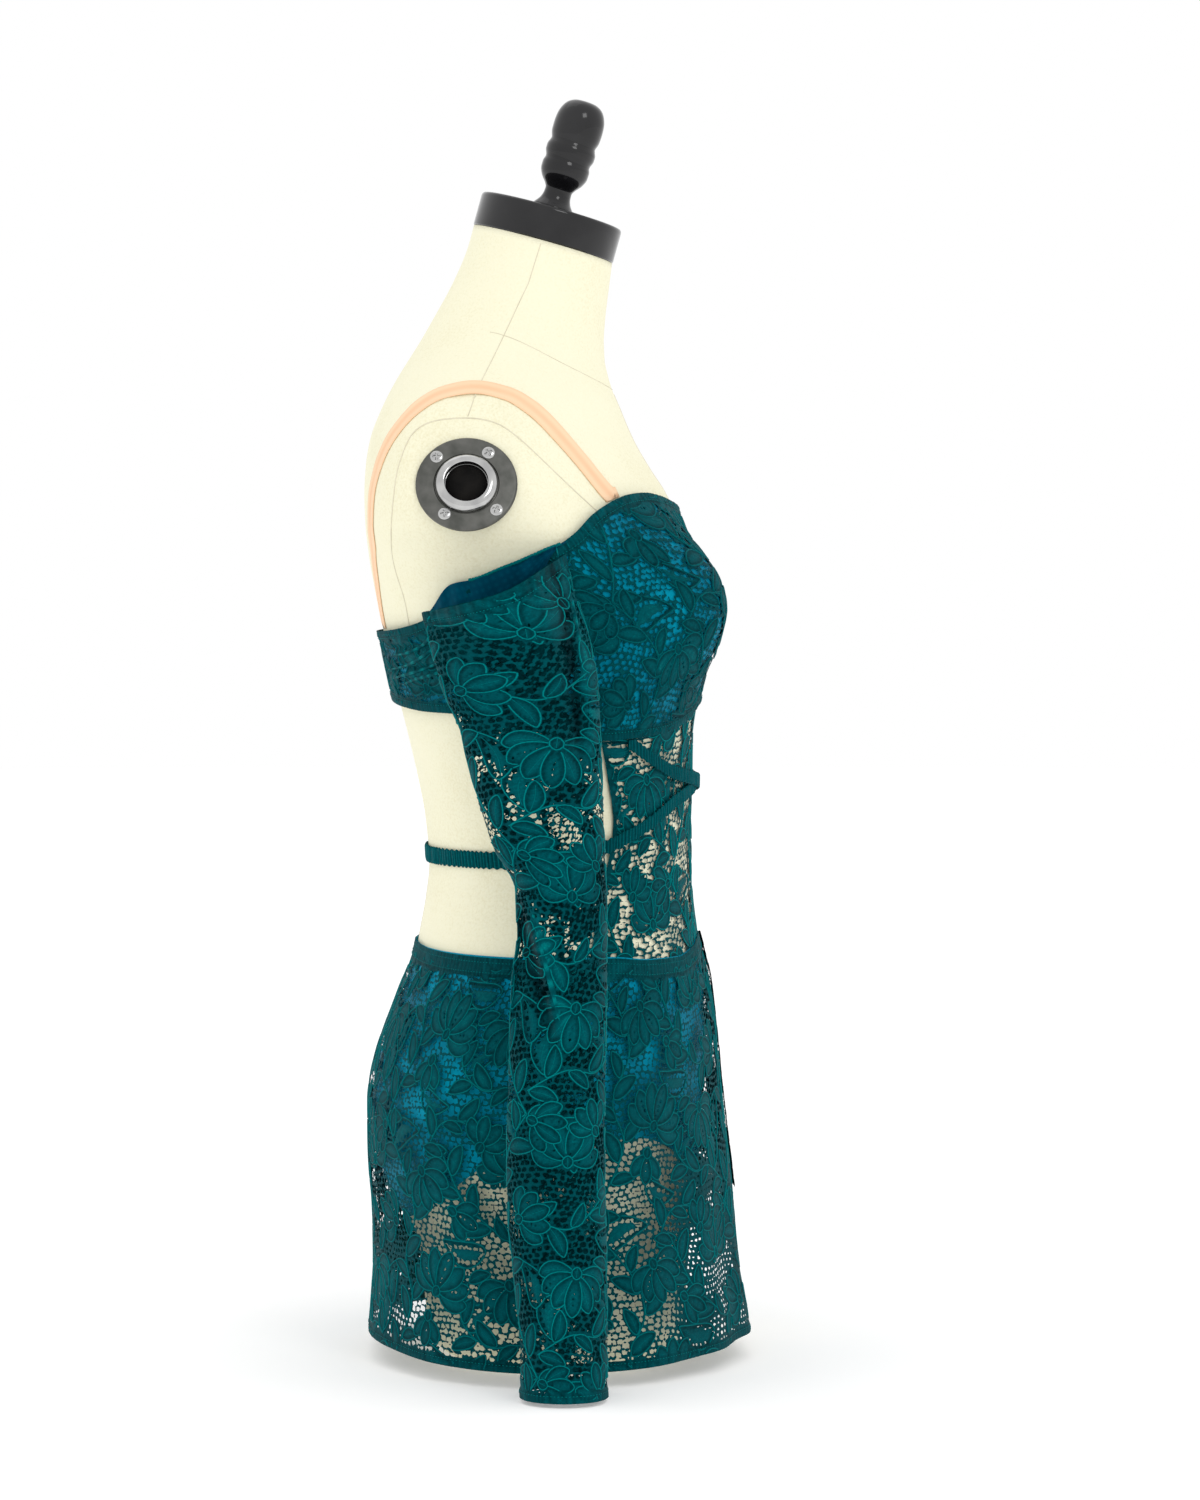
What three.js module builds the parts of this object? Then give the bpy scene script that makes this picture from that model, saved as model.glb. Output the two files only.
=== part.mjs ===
// A lyrical dance costume in lace, worn on a limbless dress form.
//
// The costume is a lined bra bodice with a sweetheart neckline, elastic shoulder straps, two long
// off-the-shoulder sleeves, a sheer midriff, straps that cross over it and run round the open back,
// a short lining over the hips, and a lace skirt whose left front panel rises to a higher hem.
// Lengths are millimetres. +Z is up, +X is the wearer's front, +Y the wearer's left. The origin is
// the middle of the foot's flat underside.
import * as THREE from "three";

// ---------------------------------------------------------------- driving dimensions
const CAP = { radius: 52.6, height: 25, edge: 2 };
const BUST = { rise: 29, apexY: 76, apexZ: 557, spreadY: 42, above: 46, below: 52 };
const SEAM_GAP = 0.4;
const FORM_ROUND = 28;
const FORM_SINK = 0.5;
const COSTUME = { low: 60, high: 710 };

// How far each layer's inner and outer face lies from the dress form.
const LAYER = {
  lining: [1.6, 2.6],
  lace: [3.6, 4.8],
  midriff: [1.5, 2.7],
  facing: [5.2, 6.2],
  strap: [1.3, 2.5],
};

const COLOURS = {
  linen: 0xe9e4c9,
  gloss: 0x0b0b0c,
  steel: 0x9a9a98,
  lace: 0x006f70,
  lining: 0x06708c,
  elastic: 0xf6cda4,
};

// The dress form, one row for each level. back, ridge and front are X at the back, at the widest
// place and at the front; half is half the width; lean tips the level forward, in degrees.
const FORM = [
  { z: 0, back: -73, ridge: 0, front: 74, half: 106, backPower: 2.1, frontPower: 2.1, lean: 0 },
  { z: 3.5, back: -83, ridge: 0, front: 84, half: 117, backPower: 2.1, frontPower: 2.1, lean: 0 },
  { z: 10, back: -89.5, ridge: 0, front: 91, half: 125, backPower: 2.1, frontPower: 2.1, lean: 0 },
  { z: 20, back: -93, ridge: 0, front: 94.5, half: 130, backPower: 2.1, frontPower: 2.1, lean: 0 },
  { z: 45, back: -96, ridge: 0, front: 96, half: 138, backPower: 2.1, frontPower: 2.1, lean: 0 },
  { z: 74, back: -99, ridge: -2, front: 98, half: 146, backPower: 2.1, frontPower: 2.1, lean: 0 },
  { z: 100, back: -108, ridge: -5, front: 100, half: 154, backPower: 2.1, frontPower: 2.1, lean: 0 },
  { z: 125, back: -121, ridge: -8, front: 101.5, half: 162, backPower: 2.1, frontPower: 2.1, lean: 0 },
  { z: 155, back: -128.5, ridge: -10, front: 103, half: 167, backPower: 2.1, frontPower: 2.1, lean: 0 },
  { z: 185, back: -131, ridge: -10, front: 105, half: 167.5, backPower: 2.1, frontPower: 2.1, lean: 0 },
  { z: 213, back: -127, ridge: -9, front: 106.5, half: 164, backPower: 2.1, frontPower: 2.1, lean: 0 },
  { z: 243, back: -116.5, ridge: -6, front: 107, half: 155, backPower: 2.1, frontPower: 2.1, lean: 0 },
  { z: 276, back: -105, ridge: -2, front: 105.5, half: 142, backPower: 2.1, frontPower: 2.1, lean: 0 },
  { z: 308, back: -98.5, ridge: 2, front: 101.5, half: 128, backPower: 2.1, frontPower: 2.1, lean: 0 },
  { z: 333, back: -94, ridge: 3, front: 98.5, half: 119.5, backPower: 2.1, frontPower: 2.1, lean: 0 },
  { z: 356, back: -91.6, ridge: 3, front: 97.5, half: 115.5, backPower: 2.1, frontPower: 2.1, lean: 0 },
  { z: 390, back: -94.4, ridge: 2, front: 97.5, half: 117, backPower: 2.15, frontPower: 2.1, lean: 0 },
  { z: 420, back: -100, ridge: 0, front: 98, half: 120.5, backPower: 2.2, frontPower: 2.1, lean: 0 },
  { z: 452, back: -107.3, ridge: -3, front: 98.5, half: 125, backPower: 2.3, frontPower: 2.15, lean: 0 },
  { z: 483, back: -115, ridge: -8, front: 103, half: 129.5, backPower: 2.35, frontPower: 2.3, lean: 0 },
  { z: 513, back: -121.5, ridge: -15, front: 107, half: 134.5, backPower: 2.4, frontPower: 2.5, lean: 0 },
  { z: 540, back: -127.5, ridge: -24, front: 104, half: 140, backPower: 2.5, frontPower: 2.4, lean: 0 },
  { z: 558, back: -131, ridge: -32, front: 101, half: 144.5, backPower: 2.5, frontPower: 2.2, lean: 0 },
  { z: 582, back: -135, ridge: -45, front: 96, half: 153, backPower: 2.5, frontPower: 1.95, lean: 0 },
  { z: 603, back: -136.8, ridge: -55, front: 89.5, half: 163, backPower: 2.8, frontPower: 1.8, lean: 0 },
  { z: 625, back: -137.3, ridge: -60, front: 81, half: 167, backPower: 2.9, frontPower: 1.7, lean: 0 },
  { z: 644, back: -136.5, ridge: -61, front: 69, half: 163, backPower: 2.8, frontPower: 1.75, lean: 0 },
  { z: 664, back: -133.6, ridge: -62, front: 57.5, half: 154, backPower: 2.6, frontPower: 1.8, lean: 0 },
  { z: 686, back: -126, ridge: -62, front: 48, half: 138, backPower: 2.3, frontPower: 1.85, lean: 0 },
  { z: 703, back: -117, ridge: -57, front: 42, half: 117, backPower: 2.2, frontPower: 1.9, lean: 1.5 },
  { z: 717, back: -108, ridge: -51, front: 38.5, half: 96.5, backPower: 2.1, frontPower: 1.9, lean: 3 },
  { z: 731, back: -98, ridge: -42, front: 36.5, half: 79, backPower: 2, frontPower: 1.95, lean: 5.5 },
  { z: 745, back: -88.5, ridge: -33, front: 36.5, half: 66.5, backPower: 2, frontPower: 2, lean: 9 },
  { z: 764, back: -76.6, ridge: -20, front: 38, half: 57.5, backPower: 2, frontPower: 2, lean: 13 },
  { z: 788, back: -65.9, ridge: -12.4, front: 41.1, half: 53, backPower: 2, frontPower: 2, lean: 15.4 },
  { z: 806.7, back: -60.6, ridge: -8.6, front: 43.5, half: 52, backPower: 2, frontPower: 2, lean: 15.5 },
];

// The outer face of the hanging skirt, level by level.
const SKIRT = [
  { z: 19, back: -134.5, ridge: -3, front: 139.5, half: 177.5 },
  { z: 40, back: -133, ridge: -4, front: 136.5, half: 177 },
  { z: 66, back: -131.5, ridge: -6, front: 132, half: 176.5 },
  { z: 93, back: -132, ridge: -8, front: 129.5, half: 176 },
  { z: 113, back: -133, ridge: -9, front: 128.5, half: 175.8 },
  { z: 135, back: -135.4, ridge: -10, front: 126.5, half: 175.6 },
  { z: 156, back: -136.5, ridge: -10, front: 124, half: 175.4 },
  { z: 185, back: -137, ridge: -10, front: 121, half: 175 },
  { z: 202, back: -135.2, ridge: -9, front: 119.2, half: 173.6 },
  { z: 219, back: -131.4, ridge: -8, front: 118, half: 170 },
  { z: 235, back: -126.2, ridge: -6.5, front: 116.5, half: 165 },
  { z: 250, back: -120.4, ridge: -5, front: 115, half: 159.6 },
  { z: 265, back: -114.8, ridge: -3.3, front: 113.4, half: 153.4 },
  { z: 282, back: -109.2, ridge: -1, front: 111.4, half: 146 },
  { z: 300, back: -105, ridge: 1, front: 108.4, half: 137.6 },
  { z: 316, back: -102.4, ridge: 2.3, front: 105, half: 130.6 },
];
const SKIRT_POWER = 2.12;
const SKIRT_WALL = 1.2;
const SKIRT_EDGE = { waist: 10, hem: 9, rise: 0.5 };

// Edges of the cloth: height z against X, the place from back to front.
const BODICE_TOP = [
  { x: -129, z: 526.5 }, { x: -110, z: 530 }, { x: -92, z: 535.5 }, { x: -75, z: 546 },
  { x: -53, z: 563 }, { x: -38.5, z: 571 }, { x: -21.7, z: 577.7 }, { x: 0, z: 588 },
  { x: 13.3, z: 597 }, { x: 24.8, z: 608.6 }, { x: 34.6, z: 615.5 }, { x: 42, z: 619.5 },
  { x: 50, z: 622.4 }, { x: 61.3, z: 623.6 }, { x: 72, z: 621.6 }, { x: 80, z: 618.5 },
  { x: 86, z: 615.5 },
];
const BODICE_BOTTOM = [
  { x: -118, z: 481.5 }, { x: -111, z: 476 }, { x: -102, z: 473.6 }, { x: -87, z: 471.4 },
  { x: -68, z: 470.5 }, { x: -40, z: 465 }, { x: 0, z: 455 }, { x: 29.3, z: 450.6 },
  { x: 59, z: 452.8 }, { x: 75.8, z: 455.5 }, { x: 92, z: 464 }, { x: 101, z: 474.5 },
];
const WAIST_TOP = [
  { x: -98, z: 302 }, { x: -88, z: 300 }, { x: -60, z: 298.6 }, { x: -24, z: 298 }, { x: 40, z: 298 },
  { x: 67, z: 295.2 }, { x: 87, z: 295 }, { x: 97, z: 300 }, { x: 102, z: 307 },
];
const LINING_LOW = [
  { x: -120, z: 90 }, { x: -98.5, z: 109 }, { x: -49, z: 153 }, { x: -33, z: 165 },
  { x: 30, z: 171 }, { x: 60, z: 170 }, { x: 82, z: 158 }, { x: 94, z: 134 }, { x: 101, z: 116 },
];
// X of the midriff's side edge at each height.
const MIDRIFF_EDGE = [
  { z: 300, x: 26 }, { z: 330, x: 31 }, { z: 360, x: 37 }, { z: 392, x: 41.3 },
  { z: 420, x: 38 }, { z: 460, x: 31 },
];
const SIDE_SEAM_DEG = 100;

// The straps that cross over the midriff: height against the angle from the front, measured from
// the side where the strap leaves the bodice. One strap passes over the other at the middle.
const CROSS_STRAP = [
  { deg: -60, z: 450, off: 3.7 }, { deg: -47, z: 436, off: 3.7 }, { deg: -34, z: 426, off: 3.7 },
  { deg: -17, z: 420.5, off: 3.7 }, { deg: 0, z: 416, off: 3.7 }, { deg: 17, z: 411.5, off: 3.7 },
  { deg: 32, z: 405.5, off: 3.7 }, { deg: 49, z: 391, off: 3.7 }, { deg: 66, z: 378, off: 3.7 },
  { deg: 76, z: 371.5, off: 2.4 }, { deg: 84, z: 367.5, off: 1.3 },
];
const STRAP = { wide: 10, thick: 1.3, backWide: 12, backZ: 364.9, backDeg: 84.22, over: 2.6 };
const SHOULDER_STRAP = { wide: 16, thick: 1 };
// The middle of a shoulder strap over the form, front to back: t along it, how far out, and height.
const STRAP_PATH = [
  { t: 0, deg: 40.3, z: 615.5 },
  { t: 0.023, deg: 42.1, z: 619.6 },
  { t: 0.123, deg: 48, z: 647.1 },
  { t: 0.196, deg: 54.5, z: 667.4 },
  { t: 0.263, deg: 63.4, z: 685 },
  { t: 0.314, deg: 73.5, z: 694.9 },
  { t: 0.373, deg: 87.3, z: 699.1 },
  { t: 0.432, deg: 103.2, z: 695.5 },
  { t: 0.49, deg: 118.2, z: 684.9 },
  { t: 0.558, deg: 130.1, z: 665.9 },
  { t: 0.618, deg: 138.9, z: 645.6 },
  { t: 0.715, deg: 149.2, z: 613.3 },
  { t: 0.853, deg: 157.5, z: 574.1 },
  { t: 0.956, deg: 163.5, z: 540 },
  { t: 1, deg: 165, z: 524.5 },
];

// The right sleeve: X of its back and front edges, how far its body side hangs from the middle of
// the garment, and how deep the empty tube is there.
const SLEEVE = [
  { z: 2, back: -21.5, front: 37.5, hang: 190, depth: 62 },
  { z: 33, back: -21.5, front: 37.5, hang: 190, depth: 61 },
  { z: 78, back: -25, front: 37, hang: 189.5, depth: 60 },
  { z: 112, back: -29, front: 36.8, hang: 189, depth: 59 },
  { z: 147, back: -30.7, front: 35.6, hang: 188, depth: 58 },
  { z: 188, back: -30.7, front: 35.6, hang: 186, depth: 58 },
  { z: 243, back: -29, front: 36.3, hang: 180, depth: 58 },
  { z: 284, back: -28, front: 37, hang: 174, depth: 58 },
  { z: 318, back: -24, front: 37, hang: 168, depth: 59 },
  { z: 351, back: -25, front: 36.8, hang: 163, depth: 60 },
  { z: 380, back: -40.5, front: 35.6, hang: 159, depth: 61 },
  { z: 421, back: -53.5, front: 34, hang: 155, depth: 62 },
  { z: 463, back: -65, front: 32.5, hang: 153, depth: 63 },
  { z: 490, back: -76.5, front: 31, hang: 151, depth: 62 },
  { z: 531, back: -88, front: 23, hang: 147, depth: 58 },
  { z: 562, back: -95, front: 13, hang: 140, depth: 50 },
  { z: 594, back: -101, front: 5, hang: 130, depth: 44 },
];
const SLEEVE_TOP = [
  { x: -96, z: 541.5 }, { x: -66, z: 548.5 }, { x: -40, z: 556 }, { x: -24, z: 564 },
  { x: -10, z: 572.5 }, { x: 6, z: 582 },
];
const SLEEVE_SHAPE = {
  cuffZ: 3, wall: 1.2, clear: 9.6, end: 14, endFrom: 470, endTo: 575, bodiceTo: 440, bodiceFrom: 470,
};
// Where the upper sleeve's back edge folds over the lower sleeve, and the pleat below the front seam.
const SLEEVE_FOLD = [
  { z: 236, x: 6, deep: 0 }, { z: 252, x: 2.6, deep: 4 }, { z: 277, x: -2.9, deep: 11 },
  { z: 313, x: -12.5, deep: 13 }, { z: 338, x: -20, deep: 7 }, { z: 352, x: -26, deep: 0 },
];
const SLEEVE_PLEAT = [
  { z: 425, x: 20, deep: 0 }, { z: 480, x: 16, deep: 5 }, { z: 540, x: 8, deep: 5 },
  { z: 580, x: -3, deep: 2.5 }, { z: 595, x: -6, deep: 1 },
];

// Soft folds of the skirt: where each stands round the body, how wide and how deep at the hem.
const SKIRT_FOLDS = [
  { deg: -160, wide: 16, deep: 4 }, { deg: -128, wide: 12, deep: 3 }, { deg: -62, wide: 10, deep: 3.5 },
  { deg: -34, wide: 8, deep: 5 }, { deg: -14, wide: 6, deep: 4.5 }, { deg: 38, wide: 9, deep: 5 },
  { deg: 66, wide: 10, deep: 3.5 }, { deg: 130, wide: 12, deep: 3 }, { deg: 163, wide: 16, deep: 4 },
];
const LEFT_FLAP = { frontDeg: 1, lowZ: 19, highZ: 117, flatDeg: 14, endDeg: 78, out: 2.2, flare: 2.6 };
const RIGHT_FRONT = { frontDeg: 24, highZ: 128, lowZ: 19, flatDeg: 5 };

const ARM_PLATE = { x: -60, y: 158, z: 629.8, tiltDeg: 24, flange: 35.5, edge: 3, boss: 22, height: 8, bore: 15 };

// ---------------------------------------------------------------- curves
const DEG = Math.PI / 180;
const clamp01 = (t) => Math.min(1, Math.max(0, t));
const smooth = (t) => clamp01(t) ** 2 * (3 - 2 * clamp01(t));
const mix = (a, b, t) => a + (b - a) * t;
const signedPower = (c, p) => Math.sign(c) * Math.abs(c) ** p;

// A smooth curve through a table's rows with no overshoot, one value for each column.
function curve(rows, key) {
  const columns = Object.keys(rows[0]).filter((name) => name !== key);
  const x = rows.map((row) => row[key]);
  const slopes = {};
  for (const name of columns) {
    const y = rows.map((row) => row[name]);
    const rise = x.slice(1).map((b, i) => (y[i + 1] - y[i]) / (b - x[i]));
    slopes[name] = y.map((_, i) => {
      if (i === 0) return rise[0];
      if (i === y.length - 1) return rise[i - 1];
      const before = rise[i - 1];
      const after = rise[i];
      return before * after <= 0 ? 0 : (2 * before * after) / (before + after);
    });
  }
  return (at) => {
    const t = Math.min(x[x.length - 1], Math.max(x[0], at));
    let i = 0;
    while (i < x.length - 2 && t > x[i + 1]) i += 1;
    const span = x[i + 1] - x[i];
    const s = (t - x[i]) / span;
    const out = {};
    for (const name of columns) {
      const a = rows[i][name];
      const b = rows[i + 1][name];
      const ta = slopes[name][i] * span;
      const tb = slopes[name][i + 1] * span;
      out[name] = a * (1 + 2 * s) * (1 - s) ** 2 + ta * s * (1 - s) ** 2
        + b * s * s * (3 - 2 * s) + tb * s * s * (s - 1);
    }
    return out;
  };
}

const formLevel = curve(FORM, "z");
const skirtLevel = curve(SKIRT, "z");
const sleeveLevel = curve(SLEEVE, "z");
const foldLine = curve(SLEEVE_FOLD, "z");
const pleatLine = curve(SLEEVE_PLEAT, "z");
const bodiceTop = curve(BODICE_TOP, "x");
const bodiceBottom = curve(BODICE_BOTTOM, "x");
const waistTop = curve(WAIST_TOP, "x");
const liningLow = curve(LINING_LOW, "x");
const midriffEdge = curve(MIDRIFF_EDGE, "z");
const sleeveTop = curve(SLEEVE_TOP, "x");
const crossStrap = curve(CROSS_STRAP, "deg");
const strapPath = curve(STRAP_PATH, "t");

// ---------------------------------------------------------------- surfaces
// The dress form's surface. deg is 0 at the front, 90 at the wearer's left.
function formPoint(deg, z) {
  const level = formLevel(z);
  const c = Math.cos(deg * DEG);
  const front = c >= 0;
  const power = 2 / (front ? level.frontPower : level.backPower);
  const reach = front ? level.front - level.ridge : level.ridge - level.back;
  const along = reach * signedPower(c, power);
  const y = level.half * signedPower(Math.sin(deg * DEG), power);
  const lean = level.lean * DEG;
  const up = z > BUST.apexZ ? BUST.above : BUST.below;
  const cup = (sign) => Math.exp(-(((y - sign * BUST.apexY) / BUST.spreadY) ** 2));
  const bust = front ? BUST.rise * (cup(1) + cup(-1)) * Math.exp(-(((z - BUST.apexZ) / up) ** 2)) : 0;
  const x = level.ridge + along * Math.cos(lean) + bust * smooth(c * 3);
  const point = new THREE.Vector3(x, y, z - along * Math.sin(lean));
  const side = y < 0 ? -1 : 1;
  const beyond = point.clone().sub(armCentre(side)).dot(armAxis(side));
  return point.addScaledVector(armAxis(side), -Math.max(0, beyond));
}

// The flat face that each armhole plate sits on cuts the side of the form.
function armCentre(sign) {
  return new THREE.Vector3(ARM_PLATE.x, sign * ARM_PLATE.y, ARM_PLATE.z);
}
function armAxis(sign) {
  return new THREE.Vector3(0, sign * Math.cos(ARM_PLATE.tiltDeg * DEG), Math.sin(ARM_PLATE.tiltDeg * DEG));
}

// A point off a surface: surface(a, b) moved by off along its normal.
function offset(surface, a, b, off, stepA = 1, stepB = 1.5) {
  const across = surface(a + stepA, b).sub(surface(a - stepA, b));
  const along = surface(a, b + stepB).sub(surface(a, b - stepB));
  return surface(a, b).addScaledVector(across.cross(along).normalize(), off);
}
const onForm = (deg, z, off) => offset(formPoint, deg, z, off);

// The angle at which the form's front half reaches X at height z.
function degAtX(x, z) {
  const level = formLevel(z);
  const share = clamp01((x - level.ridge) / (level.front - level.ridge));
  return Math.acos(share ** (level.frontPower / 2)) / DEG;
}

// The height of an edge that is a function of X, at an angle round a surface.
function edgeHeight(surface, edge, deg, start) {
  let z = start;
  for (let i = 0; i < 8; i += 1) z = mix(z, edge(surface(deg, z).x).z, 0.7);
  return z;
}

// The skirt's outer face, with its folds growing from the waist to the hem.
function skirtPoint(deg, z, flare = 0) {
  const level = skirtLevel(z);
  const c = Math.cos(deg * DEG);
  const reach = c >= 0 ? level.front - level.ridge : level.ridge - level.back;
  const fall = smooth((250 - z) / 230);
  let out = flare;
  for (const fold of SKIRT_FOLDS) {
    const turn = ((deg - fold.deg + 540) % 360) - 180;
    out += fold.deep * fall * Math.exp(-((turn / fold.wide) ** 2));
  }
  const x = level.ridge + (reach + out) * signedPower(c, 2 / SKIRT_POWER);
  return new THREE.Vector3(x, (level.half + out * 0.4) * signedPower(Math.sin(deg * DEG), 2 / SKIRT_POWER), z);
}

// The right sleeve's outer face. turn is 0 at the front edge, 90 away from the body, 180 at the back.
function sleevePoint(turn, z) {
  const level = sleeveLevel(z);
  const c = Math.cos(turn * DEG);
  const s = Math.sin(turn * DEG);
  const x = mix(level.back, level.front, (1 + c) / 2);
  const body = formLevel(z);
  const side = x > body.ridge ? (x - body.ridge) / (body.front - body.ridge) : (body.ridge - x) / (body.ridge - body.back);
  const power = x > body.ridge ? body.frontPower : body.backPower;
  const bodyHalf = body.half * (1 - Math.min(0.98, side) ** power) ** (1 / power) + SLEEVE_SHAPE.clear;
  const nearBody = smooth((z - SLEEVE_SHAPE.bodiceTo) / (SLEEVE_SHAPE.bodiceFrom - SLEEVE_SHAPE.bodiceTo));
  const inner = mix(level.hang, Math.max(bodyHalf, level.hang - 8), nearBody);
  const pinch = smooth((z - SLEEVE_SHAPE.endFrom) / (SLEEVE_SHAPE.endTo - SLEEVE_SHAPE.endFrom));
  const depth = mix(level.depth, mix(level.depth, SLEEVE_SHAPE.end, Math.abs(c) ** 3), pinch);
  const fold = foldLine(z);
  const pleat = pleatLine(z);
  const outside = smooth(s * 2);
  const away = inner + depth * (0.5 + 0.5 * signedPower(s, 0.85))
    - fold.deep * smooth((fold.x - x) / 5 + 0.5) * outside
    - (pleat.deep * depth / level.depth) * Math.exp(-(((x - pleat.x) / 6) ** 2)) * outside;
  return new THREE.Vector3(x, -away, z);
}

// ---------------------------------------------------------------- solids
// A closed solid from triangles; it is turned the right way round if its volume is negative.
function solidFrom(points, triangles) {
  let volume = 0;
  for (const [a, b, c] of triangles) volume += points[a].dot(points[b].clone().cross(points[c]));
  const index = triangles.flatMap(([a, b, c]) => (volume < 0 ? [a, c, b] : [a, b, c]));
  const geometry = new THREE.BufferGeometry();
  geometry.setAttribute("position", new THREE.Float32BufferAttribute(points.flatMap((p) => p.toArray()), 3));
  geometry.setIndex(index);
  geometry.computeVertexNormals();
  return geometry;
}

// A cloth wall: at(u, v, side) gives the inner face at side 0 and the outer at side 1. Each gap is a
// hole cut right through: its place in the grid, and its radii across and along, in cells.
function clothWall(across, along, at, gaps = []) {
  const places = [];
  for (let j = 0; j <= along; j += 1) {
    for (let i = 0; i <= across; i += 1) places.push(new THREE.Vector2(i, j));
  }
  const flat = [];
  const cells = new Map();
  for (const gap of gaps) {
    const cell = Math.floor(gap.i) + Math.floor(gap.j) * across;
    cells.set(cell, [...(cells.get(cell) ?? []), gap]);
  }
  for (let j = 0; j < along; j += 1) {
    for (let i = 0; i < across; i += 1) {
      const corner = i + j * (across + 1);
      const square = [corner, corner + 1, corner + across + 2, corner + across + 1];
      const holes = (cells.get(i + j * across) ?? []).map((gap) => {
        const first = places.length;
        for (let k = 0; k < GAP_SIDES; k += 1) {
          const turn = (k / GAP_SIDES) * 2 * Math.PI + gap.turn;
          places.push(new THREE.Vector2(gap.i + gap.wide * Math.cos(turn), gap.j + gap.tall * Math.sin(turn)));
        }
        return Array.from({ length: GAP_SIDES }, (_, k) => first + GAP_SIDES - 1 - k);
      });
      if (!holes.length) {
        flat.push([square[0], square[1], square[2]], [square[0], square[2], square[3]]);
      } else {
        const order = [...square, ...holes.flat()];
        const outline = square.map((n) => places[n]);
        const inside = holes.map((hole) => hole.map((n) => places[n]));
        for (const triangle of THREE.ShapeUtils.triangulateShape(outline, inside)) {
          flat.push(triangle.map((n) => order[n]));
        }
      }
    }
  }
  const count = places.length;
  const points = [1, 0].flatMap((side) => places.map((p) => at(p.x / across, p.y / along, side)));
  const triangles = flat.flatMap(([a, b, c]) => [[a, b, c], [c + count, b + count, a + count]]);
  const edges = new Set(flat.flatMap(([a, b, c]) => [`${a},${b}`, `${b},${c}`, `${c},${a}`]));
  for (const edge of edges) {
    const [a, b] = edge.split(",").map(Number);
    if (!edges.has(`${b},${a}`)) triangles.push([b, a, a + count], [b, a + count, b + count]);
  }
  return solidFrom(points, triangles);
}

// A ribbon along a path: rail(t, side, face) is its left or right edge, on its inner or outer face.
function ribbon(steps, rail) {
  return clothWall(steps, 1, (u, v, side) => rail(u, v, side));
}

// A closed loft through rings of points, with flat ends.
function loft(rings) {
  const round = rings[0].length;
  const points = rings.flat();
  const triangles = [];
  for (let j = 0; j < rings.length - 1; j += 1) {
    for (let i = 0; i < round; i += 1) {
      const a = j * round + i;
      const b = j * round + ((i + 1) % round);
      triangles.push([a, b, b + round], [a, b + round, a + round]);
    }
  }
  const low = points.length;
  for (const ring of [rings[0], rings[rings.length - 1]]) {
    points.push(ring.reduce((sum, p) => sum.add(p), new THREE.Vector3()).divideScalar(round));
  }
  const last = (rings.length - 1) * round;
  for (let i = 0; i < round; i += 1) {
    triangles.push([low, (i + 1) % round, i]);
    triangles.push([low + 1, last + i, last + ((i + 1) % round)]);
  }
  return solidFrom(points, triangles);
}

// ---------------------------------------------------------------- gaps in the lace
const GAP_SIDES = 5;
// One repeat of the lace's widest gaps: which cells of the repeat hold one, and where in the cell.
const GAP_REPEAT = {
  across: 3,
  along: 3,
  gaps: [
    { i: 0, j: 0, u: 0.5, v: 0.55, wide: 3.4, tall: 2.6, turn: 0.2 },
    { i: 2, j: 1, u: 0.45, v: 0.45, wide: 2.7, tall: 3.5, turn: 0.5 },
  ],
};

// The gaps of one panel, with their sizes turned into cells. keep(u, v) says where the lace is open.
function gapsOf(across, along, at, keep) {
  const found = [];
  for (let j = 0; j < along; j += 1) {
    for (let i = 0; i < across; i += 1) {
      const gap = GAP_REPEAT.gaps.find(
        (g) => g.i === i % GAP_REPEAT.across && g.j === j % GAP_REPEAT.along,
      );
      if (!gap || !keep((i + gap.u) / across, (j + gap.v) / along)) continue;
      const u = (i + gap.u) / across;
      const v = (j + gap.v) / along;
      const cellWide = at(u + 0.5 / across, v, 1).distanceTo(at(u - 0.5 / across, v, 1));
      const cellTall = at(u, v + 0.5 / along, 1).distanceTo(at(u, v - 0.5 / along, 1));
      found.push({
        i: i + gap.u,
        j: j + gap.v,
        wide: Math.min(0.36, gap.wide / cellWide),
        tall: Math.min(0.36, gap.tall / cellTall),
        turn: gap.turn,
      });
    }
  }
  return found;
}

function laceWall(across, along, at, keep = () => true) {
  return clothWall(across, along, at, gapsOf(across, along, at, keep));
}

// ---------------------------------------------------------------- the dress form
function formTorso() {
  const levels = FORM.flatMap((row, i) => {
    const next = FORM[i + 1];
    return next && next.z - row.z > 30 ? [row.z, (row.z + next.z) / 2] : [row.z];
  });
  const sink = (z) => (z > COSTUME.low && z < COSTUME.high ? -FORM_SINK : 0);
  return loft(levels.map((z) => (
    Array.from({ length: FORM_ROUND }, (_, i) => onForm((i * 360) / FORM_ROUND, z, sink(z))))));
}

function lathe(profile, round) {
  const rings = profile.slice(1, -1).map(([r, z]) => Array.from({ length: round }, (_, i) => {
    const turn = (i / round) * 2 * Math.PI;
    return new THREE.Vector3(r * Math.cos(turn), r * Math.sin(turn), z);
  }));
  return loft(rings);
}

function neckCap() {
  const { radius, height, edge } = CAP;
  return lathe([[0, 0], [radius - 0.6, 0], [radius, 0.8], [radius, height - edge],
    [radius - edge * 0.3, height - edge * 0.3], [radius - edge, height], [0, height]], 28);
}

// Radius against height up the turned knob on the cap.
const FINIAL = [
  [15, 0], [14.4, 2.5], [11, 8], [10, 15], [13.6, 20], [17.6, 28], [16.4, 36], [18.2, 43],
  [16.4, 50], [18, 58], [18, 68], [13.5, 77.5], [3, 82],
];
const finial = () => lathe([[0, 0], ...FINIAL, [0, 82]], 14);

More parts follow.
